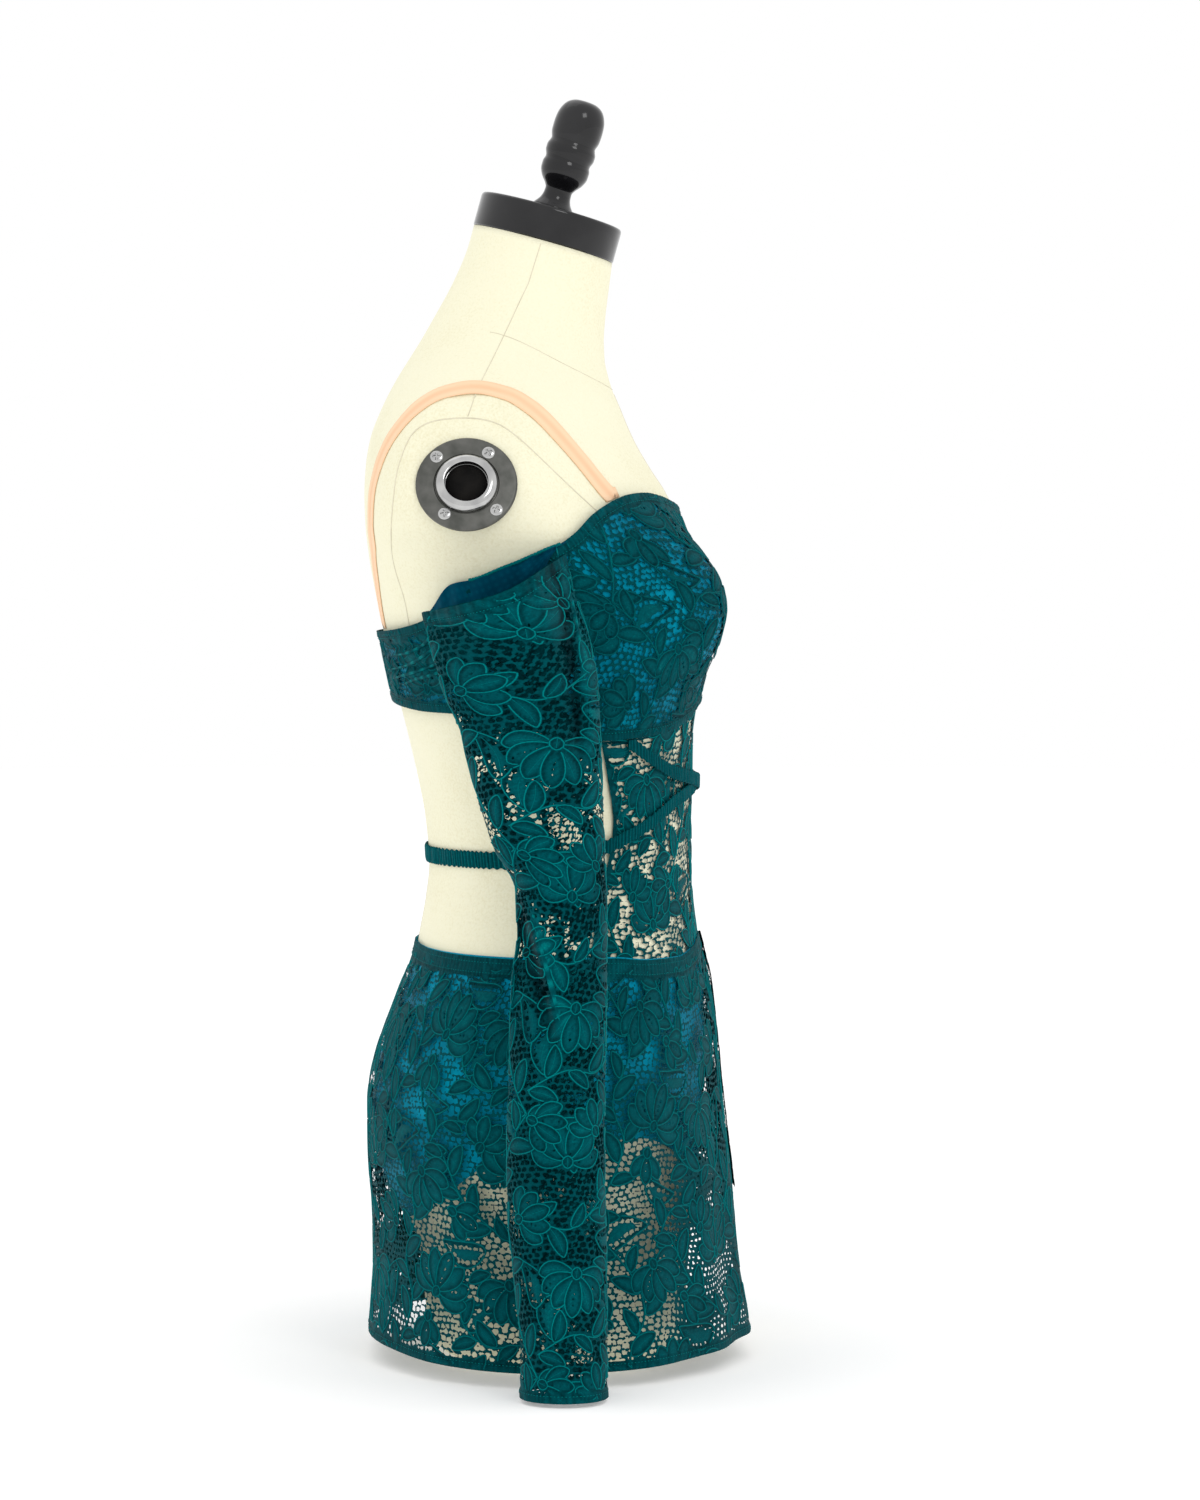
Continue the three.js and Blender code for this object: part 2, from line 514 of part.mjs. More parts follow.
function armPlate() {
  const { flange, edge, boss, height, bore } = ARM_PLATE;
  const floor = 1.5;
  const outline = [
    [0, 0], [flange - 1, 0], [flange, 1], [flange - 0.6, edge], [boss + 4, edge], [boss, edge + 2],
    [boss - 1, height - 2.4], [boss - 3, height - 0.5], [bore + 2, height], [bore, height - 1.2], [bore, floor], [0, floor],
  ];
  return lathe(outline, 20);
}

// ---------------------------------------------------------------- the costume on the body
// A wall over the form between two edges, each a height against X.
function formWall(degFrom, degTo, low, high, layer) {
  return (u, v, side) => {
    const deg = mix(degFrom, degTo, u);
    const bottom = low(deg);
    const top = high(deg);
    return onForm(deg, mix(bottom, top, v), layer[side]);
  };
}
const topAt = (deg) => edgeHeight(formPoint, bodiceTop, deg, 600);
const bottomAt = (deg) => edgeHeight(formPoint, bodiceBottom, deg, 470);
const waistAt = (deg) => edgeHeight(formPoint, waistTop, deg, 308);
const liningLowAt = (deg) => edgeHeight(formPoint, liningLow, deg, 140);

function bodiceFront(layer, inset) {
  return formWall(-SIDE_SEAM_DEG, SIDE_SEAM_DEG, (d) => bottomAt(d) + inset, (d) => topAt(d) - inset, layer);
}
function bodiceBack(layer, inset) {
  const seam = SIDE_SEAM_DEG + 0.3;
  return formWall(seam, 360 - seam, (d) => bottomAt(d) + inset, (d) => topAt(d) - inset, layer);
}

// The lining turned out over the top edge at the underarm, where the sleeve pulls it down.
function underarmFacing(sign) {
  const [from, to] = [66, 121];
  const hump = (deg) => 9 * Math.exp(-(((deg - 108) / 9) ** 2));
  const wall = formWall(from, to, (d) => topAt(d) - 26, (d) => topAt(d) + 1.5 + hump(d), LAYER.facing);
  return clothWall(10, 3, (u, v, side) => {
    const p = wall(u, v, side);
    const lift = 1.5 * smooth(1 - v) * Math.sin(Math.PI * u);
    return new THREE.Vector3(p.x, sign * (Math.abs(p.y) + lift), p.z);
  });
}

function midriffAt(u, v, side) {
  let z = 380;
  let deg = 0;
  for (let i = 0; i < 6; i += 1) {
    const wide = degAtX(midriffEdge(z).x, z);
    deg = mix(-wide, wide, u);
    z = mix(waistAt(deg) + SEAM_GAP, bottomAt(deg) - 2 * SEAM_GAP, v);
  }
  return onForm(deg, z, LAYER.midriff[side]);
}

// sign 1 runs from the wearer's right at the bodice to the left at the waist; over lifts it.
function crossStrapWall(sign, over) {
  const from = CROSS_STRAP[0].deg;
  const to = CROSS_STRAP[CROSS_STRAP.length - 1].deg;
  return ribbon(26, (u, v, side) => {
    const deg = mix(from, to, u);
    const row = crossStrap(deg);
    const lift = over * Math.exp(-((deg / 26) ** 2));
    const z = Math.min(row.z + (v - 0.5) * STRAP.wide, bottomAt(Math.abs(deg)) - 2 * SEAM_GAP);
    return onForm(sign * deg, z, row.off + lift + side * STRAP.thick);
  });
}

function backStrap() {
  return ribbon(24, (u, v, side) => {
    const deg = mix(STRAP.backDeg, 360 - STRAP.backDeg, u);
    const z = STRAP.backZ + (v - 0.5) * STRAP.backWide + 2.6 * Math.exp(-(((Math.min(deg, 360 - deg) - STRAP.backDeg) / 9) ** 2));
    return onForm(deg, z, LAYER.strap[0] + side * STRAP.thick);
  });
}

// The place on the form nearest to a point, found from a place close by.
function slide(deg, z, target) {
  let at = [deg, z];
  for (let i = 0; i < 5; i += 1) {
    const [a, b] = at;
    const across = formPoint(a + 0.5, b).sub(formPoint(a - 0.5, b));
    const along = formPoint(a, b + 0.5).sub(formPoint(a, b - 0.5));
    const miss = target.clone().sub(formPoint(a, b));
    const [aa, ab, bb] = [across.dot(across), across.dot(along), along.dot(along)];
    const [ma, mb] = [miss.dot(across), miss.dot(along)];
    const size = Math.max(aa * bb - ab * ab, 1e-6);
    const limit = (step) => Math.min(6, Math.max(-6, step));
    at = [a + limit((bb * ma - ab * mb) / size), b + limit((aa * mb - ab * ma) / size)];
  }
  return at;
}

// A shoulder strap lies on the form, its ends a little above the bodice.
function shoulderStrap(sign) {
  const middle = (t) => {
    const { deg, z } = strapPath(t);
    return [deg, Math.max(z, topAt(deg) + 2 * SEAM_GAP)];
  };
  return ribbon(34, (u, v, side) => {
    const [deg, z] = middle(u);
    const on = formPoint(deg, z);
    const run = formPoint(...middle(Math.min(1, u + 0.01))).sub(formPoint(...middle(Math.max(0, u - 0.01))));
    const out = onForm(deg, z, 2).sub(on).normalize();
    const way = out.cross(run.normalize()).normalize();
    const place = slide(deg, z, on.addScaledVector(way, (v - 0.5) * SHOULDER_STRAP.wide));
    const height = Math.max(place[1], topAt(place[0]) + 2 * SEAM_GAP);
    return onForm(sign * place[0], height, LAYER.strap[0] + side * SHOULDER_STRAP.thick);
  });
}

function hipLining() {
  return clothWall(32, 8, (u, v, side) => {
    const deg = mix(0.2, 359.8, u);
    return onForm(deg, mix(liningLowAt(deg), waistAt(deg) - 1.5, v), LAYER.lining[side]);
  });
}

function skirtWall(degFrom, degTo, hemAt, extra = () => 0) {
  return (u, v, side) => {
    const deg = mix(degFrom, degTo, u);
    const top = waistAt(deg);
    const hem = hemAt(deg);
    const height = top - hem;
    const bands = [0, SKIRT_EDGE.hem / height, 1 - SKIRT_EDGE.waist / height, 1];
    const raised = v < bands[1] * 0.99 || v > bands[2] + 0.01 ? SKIRT_EDGE.rise : 0;
    const z = mix(hem, top, v);
    const surface = (a, b) => skirtPoint(a, b, extra(a, b));
    return offset(surface, deg, z, side === 1 ? raised : -SKIRT_WALL);
  };
}
const plainHem = () => RIGHT_FRONT.lowZ;

// The right panel runs under the left one, its hem rising to its front edge.
const rightHem = (deg) => mix(RIGHT_FRONT.lowZ, RIGHT_FRONT.highZ,
  clamp01((deg - RIGHT_FRONT.flatDeg) / (RIGHT_FRONT.frontDeg - RIGHT_FRONT.flatDeg)) ** 1.3);

// The left front panel hangs outside the right one, and its hem rises towards its front edge.
const flapHem = (deg) => mix(LEFT_FLAP.highZ, LEFT_FLAP.lowZ,
  smooth((deg - LEFT_FLAP.flatDeg) / (LEFT_FLAP.endDeg - LEFT_FLAP.flatDeg)));
const flapOut = (deg, z) => (LEFT_FLAP.out + LEFT_FLAP.flare * smooth((300 - z) / 180))
  * smooth((RIGHT_FRONT.frontDeg + 18 - deg) / 18) * smooth((330 - z) / 14);

// ---------------------------------------------------------------- sleeves
function sleeveWall(sign, turnFrom, turnTo) {
  return (u, v, side) => {
    const turn = mix(turnFrom, turnTo, u);
    const x = mix(-96, 6, (1 + Math.cos(turn * DEG)) / 2);
    const z = mix(SLEEVE_SHAPE.cuffZ, sleeveTop(x).z, v);
    const p = offset(sleevePoint, turn, z, side === 1 ? 0 : -SLEEVE_SHAPE.wall, 3, 3);
    return new THREE.Vector3(p.x, -sign * p.y, p.z);
  };
}

// ---------------------------------------------------------------- assembly
const costume = new THREE.Group();
const materials = {
  linen: { color: COLOURS.linen, roughness: 0.85, metalness: 0 },
  gloss: { color: COLOURS.gloss, roughness: 0.12, metalness: 0 },
  steel: { color: COLOURS.steel, roughness: 0.25, metalness: 1 },
  lace: { color: COLOURS.lace, roughness: 0.75, metalness: 0 },
  lining: { color: COLOURS.lining, roughness: 0.55, metalness: 0 },
  elastic: { color: COLOURS.elastic, roughness: 0.6, metalness: 0 },
};

function add(name, geometry, material, place = () => {}) {
  const mesh = new THREE.Mesh(geometry, new THREE.MeshStandardMaterial(materials[material]));
  mesh.name = name;
  place(mesh);
  costume.add(mesh);
}

// Stands a piece on the leaning top of the neck, so far up its axis.
const onNeck = (up, tip = 0) => (mesh) => {
  const top = FORM[FORM.length - 1];
  const axis = new THREE.Vector3(Math.sin(top.lean * DEG), 0, Math.cos(top.lean * DEG));
  mesh.position.set(top.ridge, 0, top.z).addScaledVector(axis, up);
  mesh.rotation.y = (top.lean + tip) * DEG;
};

add("form_torso", formTorso(), "linen");
add("neck_cap", neckCap(), "gloss", onNeck(0.3));
add("cap_finial", finial(), "gloss", onNeck(CAP.height + 1, 2));
for (const [side, sign] of [["right", -1], ["left", 1]]) {
  add(`arm_plate_${side}`, armPlate(), "steel", (mesh) => {
    mesh.position.copy(armCentre(sign)).addScaledVector(armAxis(sign), 0.4);
    mesh.quaternion.setFromUnitVectors(new THREE.Vector3(0, 0, 1), armAxis(sign));
  });
}

add("bodice_front_lining", clothWall(22, 9, bodiceFront(LAYER.lining, 1.2)), "lining");
add("bodice_front_lace", laceWall(22, 9, bodiceFront(LAYER.lace, 0), (u, v) => v < 0.9), "lace");
add("bodice_back_lining", clothWall(14, 3, bodiceBack(LAYER.lining, 1.2)), "lining");
add("bodice_back_lace", clothWall(14, 3, bodiceBack(LAYER.lace, 0)), "lace");
add("midriff_lace", laceWall(14, 8, midriffAt, (u) => u > 0.07 && u < 0.93), "lace");
add("cross_strap_right", crossStrapWall(1, STRAP.over), "lace");
add("cross_strap_left", crossStrapWall(-1, 0), "lace");
add("waist_strap_back", backStrap(), "lace");
add("hip_lining", hipLining(), "lining");

const sideSeam = SIDE_SEAM_DEG - 4;
add("skirt_back_lace", laceWall(16, 7, skirtWall(sideSeam + 0.2, 360 - sideSeam - 0.2, plainHem), (u, v) => v < 0.9), "lace");
add("skirt_right_lace", laceWall(14, 7, skirtWall(-sideSeam, RIGHT_FRONT.frontDeg, rightHem), (u, v) => v < 0.9), "lace");
add("skirt_left_lace", laceWall(12, 7, skirtWall(LEFT_FLAP.frontDeg, sideSeam, flapHem, flapOut), (u, v) => v < 0.9), "lace");

for (const [side, sign] of [["right", -1], ["left", 1]]) {
  add(`underarm_facing_${side}`, underarmFacing(sign), "lining");
  add(`shoulder_strap_${side}`, shoulderStrap(sign), "elastic");
  add(`sleeve_${side}_outer`, laceWall(10, 16, sleeveWall(sign, 0.6, 179.4), (u, v) => v > 0.05 && v < 0.92), "lace");
  add(`sleeve_${side}_inner`, clothWall(7, 16, sleeveWall(sign, 180.6, 359.4)), "lace");
}

export default costume;
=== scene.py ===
# A teal lace dance costume on a limbless dress form.
# Shapes are worked out in millimetres, in the frame of the solids, and stored in metres.
import math
from collections import namedtuple
from types import SimpleNamespace

import bpy
import numpy as np
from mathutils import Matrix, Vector


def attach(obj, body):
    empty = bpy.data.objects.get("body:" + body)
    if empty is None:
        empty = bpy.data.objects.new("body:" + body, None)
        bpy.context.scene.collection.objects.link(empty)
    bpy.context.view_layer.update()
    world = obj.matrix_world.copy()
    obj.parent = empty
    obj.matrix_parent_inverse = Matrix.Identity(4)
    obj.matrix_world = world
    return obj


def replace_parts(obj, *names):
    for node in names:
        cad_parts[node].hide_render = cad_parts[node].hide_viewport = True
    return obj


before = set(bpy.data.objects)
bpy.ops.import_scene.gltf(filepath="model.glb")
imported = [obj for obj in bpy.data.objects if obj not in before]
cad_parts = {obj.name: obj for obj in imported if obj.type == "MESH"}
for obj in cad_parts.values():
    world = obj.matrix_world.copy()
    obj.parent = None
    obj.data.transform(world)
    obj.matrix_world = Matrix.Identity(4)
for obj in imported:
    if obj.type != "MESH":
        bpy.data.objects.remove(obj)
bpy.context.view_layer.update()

DEG = math.pi / 180
MM = 0.001
UV_PER_MM = 0.01           # one unit of a sheet's texture layer is 100 mm of cloth
SIDES = (("right", -1), ("left", 1))

# ---- shared sizes
# z, back, ridge, front, half width, back power, front power, lean
FORM = np.array([
    [0, -73, 0, 74, 106, 2.1, 2.1, 0], [3.5, -83, 0, 84, 117, 2.1, 2.1, 0],
    [10, -89.5, 0, 91, 125, 2.1, 2.1, 0], [20, -93, 0, 94.5, 130, 2.1, 2.1, 0],
    [45, -96, 0, 96, 138, 2.1, 2.1, 0], [74, -99, -2, 98, 146, 2.1, 2.1, 0],
    [100, -108, -5, 100, 154, 2.1, 2.1, 0], [125, -121, -8, 101.5, 162, 2.1, 2.1, 0],
    [155, -128.5, -10, 103, 167, 2.1, 2.1, 0], [185, -131, -10, 105, 167.5, 2.1, 2.1, 0],
    [213, -127, -9, 106.5, 164, 2.1, 2.1, 0], [243, -116.5, -6, 107, 155, 2.1, 2.1, 0],
    [276, -105, -2, 105.5, 142, 2.1, 2.1, 0], [308, -98.5, 2, 101.5, 128, 2.1, 2.1, 0],
    [333, -94, 3, 98.5, 119.5, 2.1, 2.1, 0], [356, -91.6, 3, 97.5, 115.5, 2.1, 2.1, 0],
    [390, -94.4, 2, 97.5, 117, 2.15, 2.1, 0], [420, -100, 0, 98, 120.5, 2.2, 2.1, 0],
    [452, -107.3, -3, 98.5, 125, 2.3, 2.15, 0], [483, -115, -8, 103, 129.5, 2.35, 2.3, 0],
    [513, -121.5, -15, 107, 134.5, 2.4, 2.5, 0], [540, -127.5, -24, 104, 140, 2.5, 2.4, 0],
    [558, -131, -32, 101, 144.5, 2.5, 2.2, 0], [582, -135, -45, 96, 153, 2.5, 1.95, 0],
    [603, -136.8, -55, 89.5, 163, 2.8, 1.8, 0], [625, -137.3, -60, 81, 167, 2.9, 1.7, 0],
    [644, -136.5, -61, 69, 163, 2.8, 1.75, 0], [664, -133.6, -62, 57.5, 154, 2.6, 1.8, 0],
    [686, -126, -62, 48, 138, 2.3, 1.85, 0], [703, -117, -57, 42, 117, 2.2, 1.9, 1.5],
    [717, -108, -51, 38.5, 96.5, 2.1, 1.9, 3], [731, -98, -42, 36.5, 79, 2, 1.95, 5.5],
    [745, -88.5, -33, 36.5, 66.5, 2, 2, 9], [764, -76.6, -20, 38, 57.5, 2, 2, 13],
    [788, -65.9, -12.4, 41.1, 53, 2, 2, 15.4], [806.7, -60.6, -8.6, 43.5, 52, 2, 2, 15.5],
])
# one side's bust point and how far its swell reaches; an armhole plate's place and tilt
BUST = dict(rise=29, apex_y=76, apex_z=557, spread=42, above=46, below=52)
ARM = dict(x=-60, y=158, z=629.8, tilt=24)
# z, back, ridge, front, half width
SKIRT = np.array([
    [19, -134.5, -3, 139.5, 177.5], [40, -133, -4, 136.5, 177], [66, -131.5, -6, 132, 176.5],
    [93, -132, -8, 129.5, 176], [113, -133, -9, 128.5, 175.8], [135, -135.4, -10, 126.5, 175.6],
    [156, -136.5, -10, 124, 175.4], [185, -137, -10, 121, 175], [202, -135.2, -9, 119.2, 173.6],
    [219, -131.4, -8, 118, 170], [235, -126.2, -6.5, 116.5, 165], [250, -120.4, -5, 115, 159.6],
    [265, -114.8, -3.3, 113.4, 153.4], [282, -109.2, -1, 111.4, 146], [300, -105, 1, 108.4, 137.6],
    [316, -102.4, 2.3, 105, 130.6],
])
SKIRT_POWER = 2 / 2.12     # of the skirt's rounded rings
# degrees from the front, width, depth at the hem
SKIRT_FOLDS = [(-160, 16, 4), (-128, 12, 3), (-62, 10, 3.5), (-34, 8, 5), (-14, 6, 4.5),
               (38, 9, 5), (66, 10, 3.5), (130, 12, 3), (163, 16, 4)]
# x, z of the edges of the cloth on the form
BODICE_TOP = np.array([
    [-129, 526.5], [-110, 530], [-92, 535.5], [-75, 546], [-53, 563], [-38.5, 571], [-21.7, 577.7],
    [0, 588], [13.3, 597], [24.8, 608.6], [34.6, 615.5], [42, 619.5], [50, 622.4], [61.3, 623.6],
    [72, 621.6], [80, 618.5], [86, 615.5]])
BODICE_BOTTOM = np.array([
    [-118, 481.5], [-111, 476], [-102, 473.6], [-87, 471.4], [-68, 470.5], [-40, 465], [0, 455],
    [29.3, 450.6], [59, 452.8], [75.8, 455.5], [92, 464], [101, 474.5]])
WAIST_TOP = np.array([[-98, 302], [-88, 300], [-60, 298.6], [-24, 298], [40, 298], [67, 295.2],
                      [87, 295], [97, 300], [102, 307]])
LINING_LOW = np.array([[-120, 90], [-98.5, 109], [-49, 153], [-33, 165], [30, 171], [60, 170],
                       [82, 158], [94, 134], [101, 116]])
# z, x of the rear edge of the midriff's lace
MIDRIFF_EDGE = np.array([[300, 26], [330, 31], [360, 37], [392, 41.3], [420, 38], [460, 31]])
# height of the cloth off the form
OFF = dict(bodice_lining=2.3, bodice_lace=3.5, back_lace=4.2, facing=5.7, hip_lining=2.1, midriff=1.4,
           waist_strap=1.3, elastic=0.15)
# degrees from the front, z, height off the form
CROSS_STRAP = np.array([
    [-60, 450, 3.7], [-47, 436, 3.7], [-34, 426, 3.7], [-17, 420.5, 3.7], [0, 416, 3.7],
    [17, 411.5, 3.7], [32, 405.5, 3.7], [49, 391, 3.7], [66, 378, 3.7], [76, 371.5, 2.4], [84, 367.5, 1.3]])
# z, back, front, distance from the middle, depth
SLEEVE = np.array([
    [2, -21.5, 37.5, 190, 62], [33, -21.5, 37.5, 190, 61], [78, -25, 37, 189.5, 60],
    [112, -29, 36.8, 189, 59], [147, -30.7, 35.6, 188, 58], [188, -30.7, 35.6, 186, 58],
    [243, -29, 36.3, 180, 58], [284, -28, 37, 174, 58], [318, -24, 37, 168, 59],
    [351, -25, 36.8, 163, 60], [380, -40.5, 35.6, 159, 61], [421, -53.5, 34, 155, 62],
    [463, -65, 32.5, 153, 63], [490, -76.5, 31, 151, 62], [531, -88, 23, 147, 58],
    [562, -95, 13, 140, 50], [594, -101, 5, 130, 44]])
# x, z of the sleeve's top edge
SLEEVE_TOP = np.array([[-96, 541.5], [-66, 548.5], [-40, 556], [-24, 564], [-10, 572.5], [6, 582]])
# z, x, depth of the fold at the elbow and of the pleat above it
SLEEVE_FOLD = np.array([[236, 6, 0], [252, 2.6, 4], [277, -2.9, 11], [313, -12.5, 13], [338, -20, 7],
                        [352, -26, 0]])
SLEEVE_PLEAT = np.array([[425, 20, 0], [480, 16, 5], [540, 8, 5], [580, -3, 2.5], [595, -6, 1]])
SLEEVE_CLEAR = 9.6         # between the form and a sleeve's top
SIDE_SEAM = 100            # degrees from the front
STRAP_JOIN = 84.22         # degrees from the front, where the straps of the waist meet
LINING_STEP = 4.0          # between the points of a lining
# along a shoulder strap from the front, degrees from the front, z
STRAP_PATH = np.array([
    [0, 40.3, 615.5], [0.023, 42.1, 619.6], [0.123, 48, 647.1], [0.196, 54.5, 667.4], [0.263, 63.4, 685],
    [0.314, 73.5, 694.9], [0.373, 87.3, 699.1], [0.432, 103.2, 695.5], [0.49, 118.2, 684.9],
    [0.558, 130.1, 665.9], [0.618, 138.9, 645.6], [0.715, 149.2, 613.3], [0.853, 157.5, 574.1],
    [0.956, 163.5, 540], [1, 165, 524.5]])


# ---- curves and places
def table(rows):
    """A smooth curve through the rows with no overshoot: at(x) gives the other columns."""
    x, y = rows[:, 0], rows[:, 1:]
    rise = (y[1:] - y[:-1]) / (x[1:] - x[:-1])[:, None]
    slope = np.empty_like(y)
    slope[0], slope[-1] = rise[0], rise[-1]
    a, b = rise[:-1], rise[1:]
    same = a * b > 0
    slope[1:-1] = np.where(same, 2 * a * b / np.where(same, a + b, 1), 0)

    def at(value):
        t = np.clip(value, x[0], x[-1])
        i = np.clip(np.searchsorted(x, t, side="right") - 1, 0, len(x) - 2)
        span = x[i + 1] - x[i]
        s = ((t - x[i]) / span)[..., None]
        span = span[..., None]
        out = (y[i] * (1 + 2 * s) * (1 - s) ** 2 + slope[i] * span * s * (1 - s) ** 2
               + y[i + 1] * s * s * (3 - 2 * s) + slope[i + 1] * span * s * s * (s - 1))
        return np.moveaxis(out, -1, 0)

    return at


def smooth(t):
    """0 to 1 with level ends."""
    t = np.clip(t, 0, 1)
    return t * t * (3 - 2 * t)


def mix(a, b, t):
    """From a to b."""
    return a + (b - a) * t


def spow(c, p):
    """A power that keeps the sign."""
    return np.sign(c) * np.abs(c) ** p


def hump(value, middle, wide):
    """1 at the middle, falling smoothly to nothing on both sides."""
    return np.exp(-(((value - middle) / wide) ** 2))


def mirrored(points, sign):
    """Points of the wearer's left side, or with sign -1 of the right."""
    return points * np.array([1, sign, 1])


form_at, skirt_at, sleeve_at = table(FORM), table(SKIRT), table(SLEEVE)
fold_at, pleat_at = table(SLEEVE_FOLD), table(SLEEVE_PLEAT)
cross_at, midriff_edge, strap_at = table(CROSS_STRAP), table(MIDRIFF_EDGE), table(STRAP_PATH)


# ---- surfaces
def form_point(deg, z):
    """The form's points: rounded rings, with the bust, and cut flat where the armhole plates lie."""
    back, ridge, front, half, back_power, front_power, lean = form_at(z)
    c, s = np.cos(deg * DEG), np.sin(deg * DEG)
    ahead = c >= 0
    power = 2 / np.where(ahead, front_power, back_power)
    reach = np.where(ahead, front - ridge, ridge - back)
    along = reach * spow(c, power)
    y = half * spow(s, power)
    lean = lean * DEG
    up = np.where(z > BUST["apex_z"], BUST["above"], BUST["below"])
    cups = hump(y, BUST["apex_y"], BUST["spread"]) + hump(y, -BUST["apex_y"], BUST["spread"])
    bust = np.where(ahead, BUST["rise"] * cups * hump(z, BUST["apex_z"], up), 0)
    x = ridge + along * np.cos(lean) + bust * smooth(c * 3)
    point = np.stack([x, y, z - along * np.sin(lean)], -1)
    side = np.where(y < 0, -1.0, 1.0)
    tilt = ARM["tilt"] * DEG
    axis = np.stack([0 * side, side * math.cos(tilt), 0 * side + math.sin(tilt)], -1)
    centre = np.stack([0 * side + ARM["x"], side * ARM["y"], 0 * side + ARM["z"]], -1)
    beyond = np.maximum(0, ((point - centre) * axis).sum(-1))
    return point - axis * beyond[..., None]


def lengths_along(points):
    """The length of a path up to each of its points."""
    return np.concatenate([[0], np.cumsum(np.linalg.norm(np.diff(points, axis=0), axis=1))])


def unit(v):
    """The vectors at length 1."""
    return v / np.maximum(np.linalg.norm(v, axis=-1, keepdims=True), 1e-9)


def offset(surface, a, b, off, step_a=1.0, step_b=1.5):
    """Points that stand off a surface."""
    across = surface(a + step_a, b) - surface(a - step_a, b)
    along = surface(a, b + step_b) - surface(a, b - step_b)
    return surface(a, b) + unit(np.cross(across, along)) * np.asarray(off)[..., None]


def on_form(deg, z, off):
    """Points that stand off the form."""
    return offset(form_point, deg, z, off)


def edge_table(surface, rows, start):
    """Height of an edge at each angle, where the edge is given against x."""
    edge = table(rows)
    deg = np.linspace(-180, 180, 721)
    z = np.full_like(deg, float(start))
    for _ in range(12):
        z = mix(z, edge(surface(deg, z)[..., 0])[0], 0.7)
    return lambda at: np.interp((at + 180) % 360 - 180, deg, z)


top_at = edge_table(form_point, BODICE_TOP, 600)
bottom_at = edge_table(form_point, BODICE_BOTTOM, 470)
waist_at = edge_table(form_point, WAIST_TOP, 308)
lining_low_at = edge_table(form_point, LINING_LOW, 140)


def skirt_point(deg, z, flare=0.0):
    """The skirt's points, in its folds."""
    back, ridge, front, half = skirt_at(z)
    c = np.cos(deg * DEG)
    reach = np.where(c >= 0, front - ridge, ridge - back)
    fall = smooth((250 - z) / 230)
    out = flare + 0 * c
    for where, wide, deep in SKIRT_FOLDS:
        turn = (deg - where + 540) % 360 - 180
        out = out + deep * fall * hump(turn, 0, wide)
    x = ridge + (reach + out) * spow(c, SKIRT_POWER)
    return np.stack([x, (half + out * 0.4) * spow(np.sin(deg * DEG), SKIRT_POWER), z + 0 * c], -1)


def form_share(x, z):
    """How far x is from the form's widest line towards its front or back, from 0 to 1, with the
    power of the form's curve there."""
    back, ridge, front, _, back_power, front_power, _ = form_at(z)
    ahead = x > ridge
    share = np.where(ahead, (x - ridge) / (front - ridge), (ridge - x) / (ridge - back))
    return share, np.where(ahead, front_power, back_power), ahead


def form_deg(x, z):
    """Degrees from the front of the place on the form's left side at x and height z."""
    share, power, ahead = form_share(x, z)
    deg = np.arccos(np.clip(share, 0, 1) ** (power / 2)) / DEG
    return np.where(ahead, deg, 180 - deg)


def sleeve_point(turn, z):
    """The right sleeve's points; turn is 0 at its front and 90 outside."""
    back, front, hang, deep = sleeve_at(z)
    c, s = np.cos(turn * DEG), np.sin(turn * DEG)
    x = mix(back, front, (1 + c) / 2)
    share, power, _ = form_share(x, z)
    body = form_at(z)[3] * (1 - np.minimum(0.98, share) ** power) ** (1 / power) + SLEEVE_CLEAR
    near = smooth((z - 440) / 30)
    inner = mix(hang, np.maximum(body, hang - 8), near)
    pinch = smooth((z - 470) / 105)
    depth = mix(deep, mix(deep, 14, np.abs(c) ** 3), pinch)
    fold_x, fold_deep = fold_at(z)
    pleat_x, pleat_deep = pleat_at(z)
    outside = smooth(s * 2)
    away = (inner + depth * (0.5 + 0.5 * spow(s, 0.85))
            - fold_deep * smooth((fold_x - x) / 5 + 0.5) * outside
            - pleat_deep * depth / deep * hump(x, pleat_x, 6) * outside)
    return np.stack([x, -away, z + 0 * c], -1)


# ---- the lace repeat
TILE = (150.0, 180.0)      # one repeat of the lace, across and along
TILE_STEP = 0.4
NET = (31, 42)             # gaps of the net in one repeat, across and along
CORD = 0.8                 # half the width of the cord round each motif

# Stems: points of a wandering cord, the side its first leaf is on, leaf length, leaf spacing.
STEMS = [([(0, 20), (16, 44), (30, 74), (22, 104), (36, 134), (30, 160), (0, 200)], 1, 22, 15),
         ([(150, 36), (124, 50), (100, 48), (80, 66), (86, 92)], -1, 21, 14),
         ([(52, 0), (70, 24), (96, 22), (118, 4)], 1, 20, 14),
         ([(150, 132), (124, 122), (104, 134), (86, 150), (70, 180)], 1, 21, 14)]
# Sprays: a fan of petals from x, y, facing an angle; petals, spread between them, length, width.
SPRAYS = [(58, 84, 62, 7, 27, 31, 12.5), (118, 92, -80, 7, 27, 29, 12), (122, 168, 92, 6, 30, 27, 12),
          (48, 168, -62, 6, 29, 28, 12), (8, 128, 160, 5, 30, 24, 11), (50, 66, -100, 3, 34, 21, 10),
          (76, 142, -30, 3, 36, 22, 10), (100, 8, 60, 4, 32, 22, 10), (146, 16, 200, 4, 32, 23, 10)]
# Paisleys with an open filling: x, y, angle, length, width, bend.
PAISLEYS = [(28, 8, 24, 38, 19, 7), (132, 64, 112, 36, 18, -7), (84, 118, 170, 36, 18, 6),
            (98, 66, 30, 30, 15, 5), (4, 84, 72, 34, 17, 6), (60, 40, -20, 30, 15, -5)]
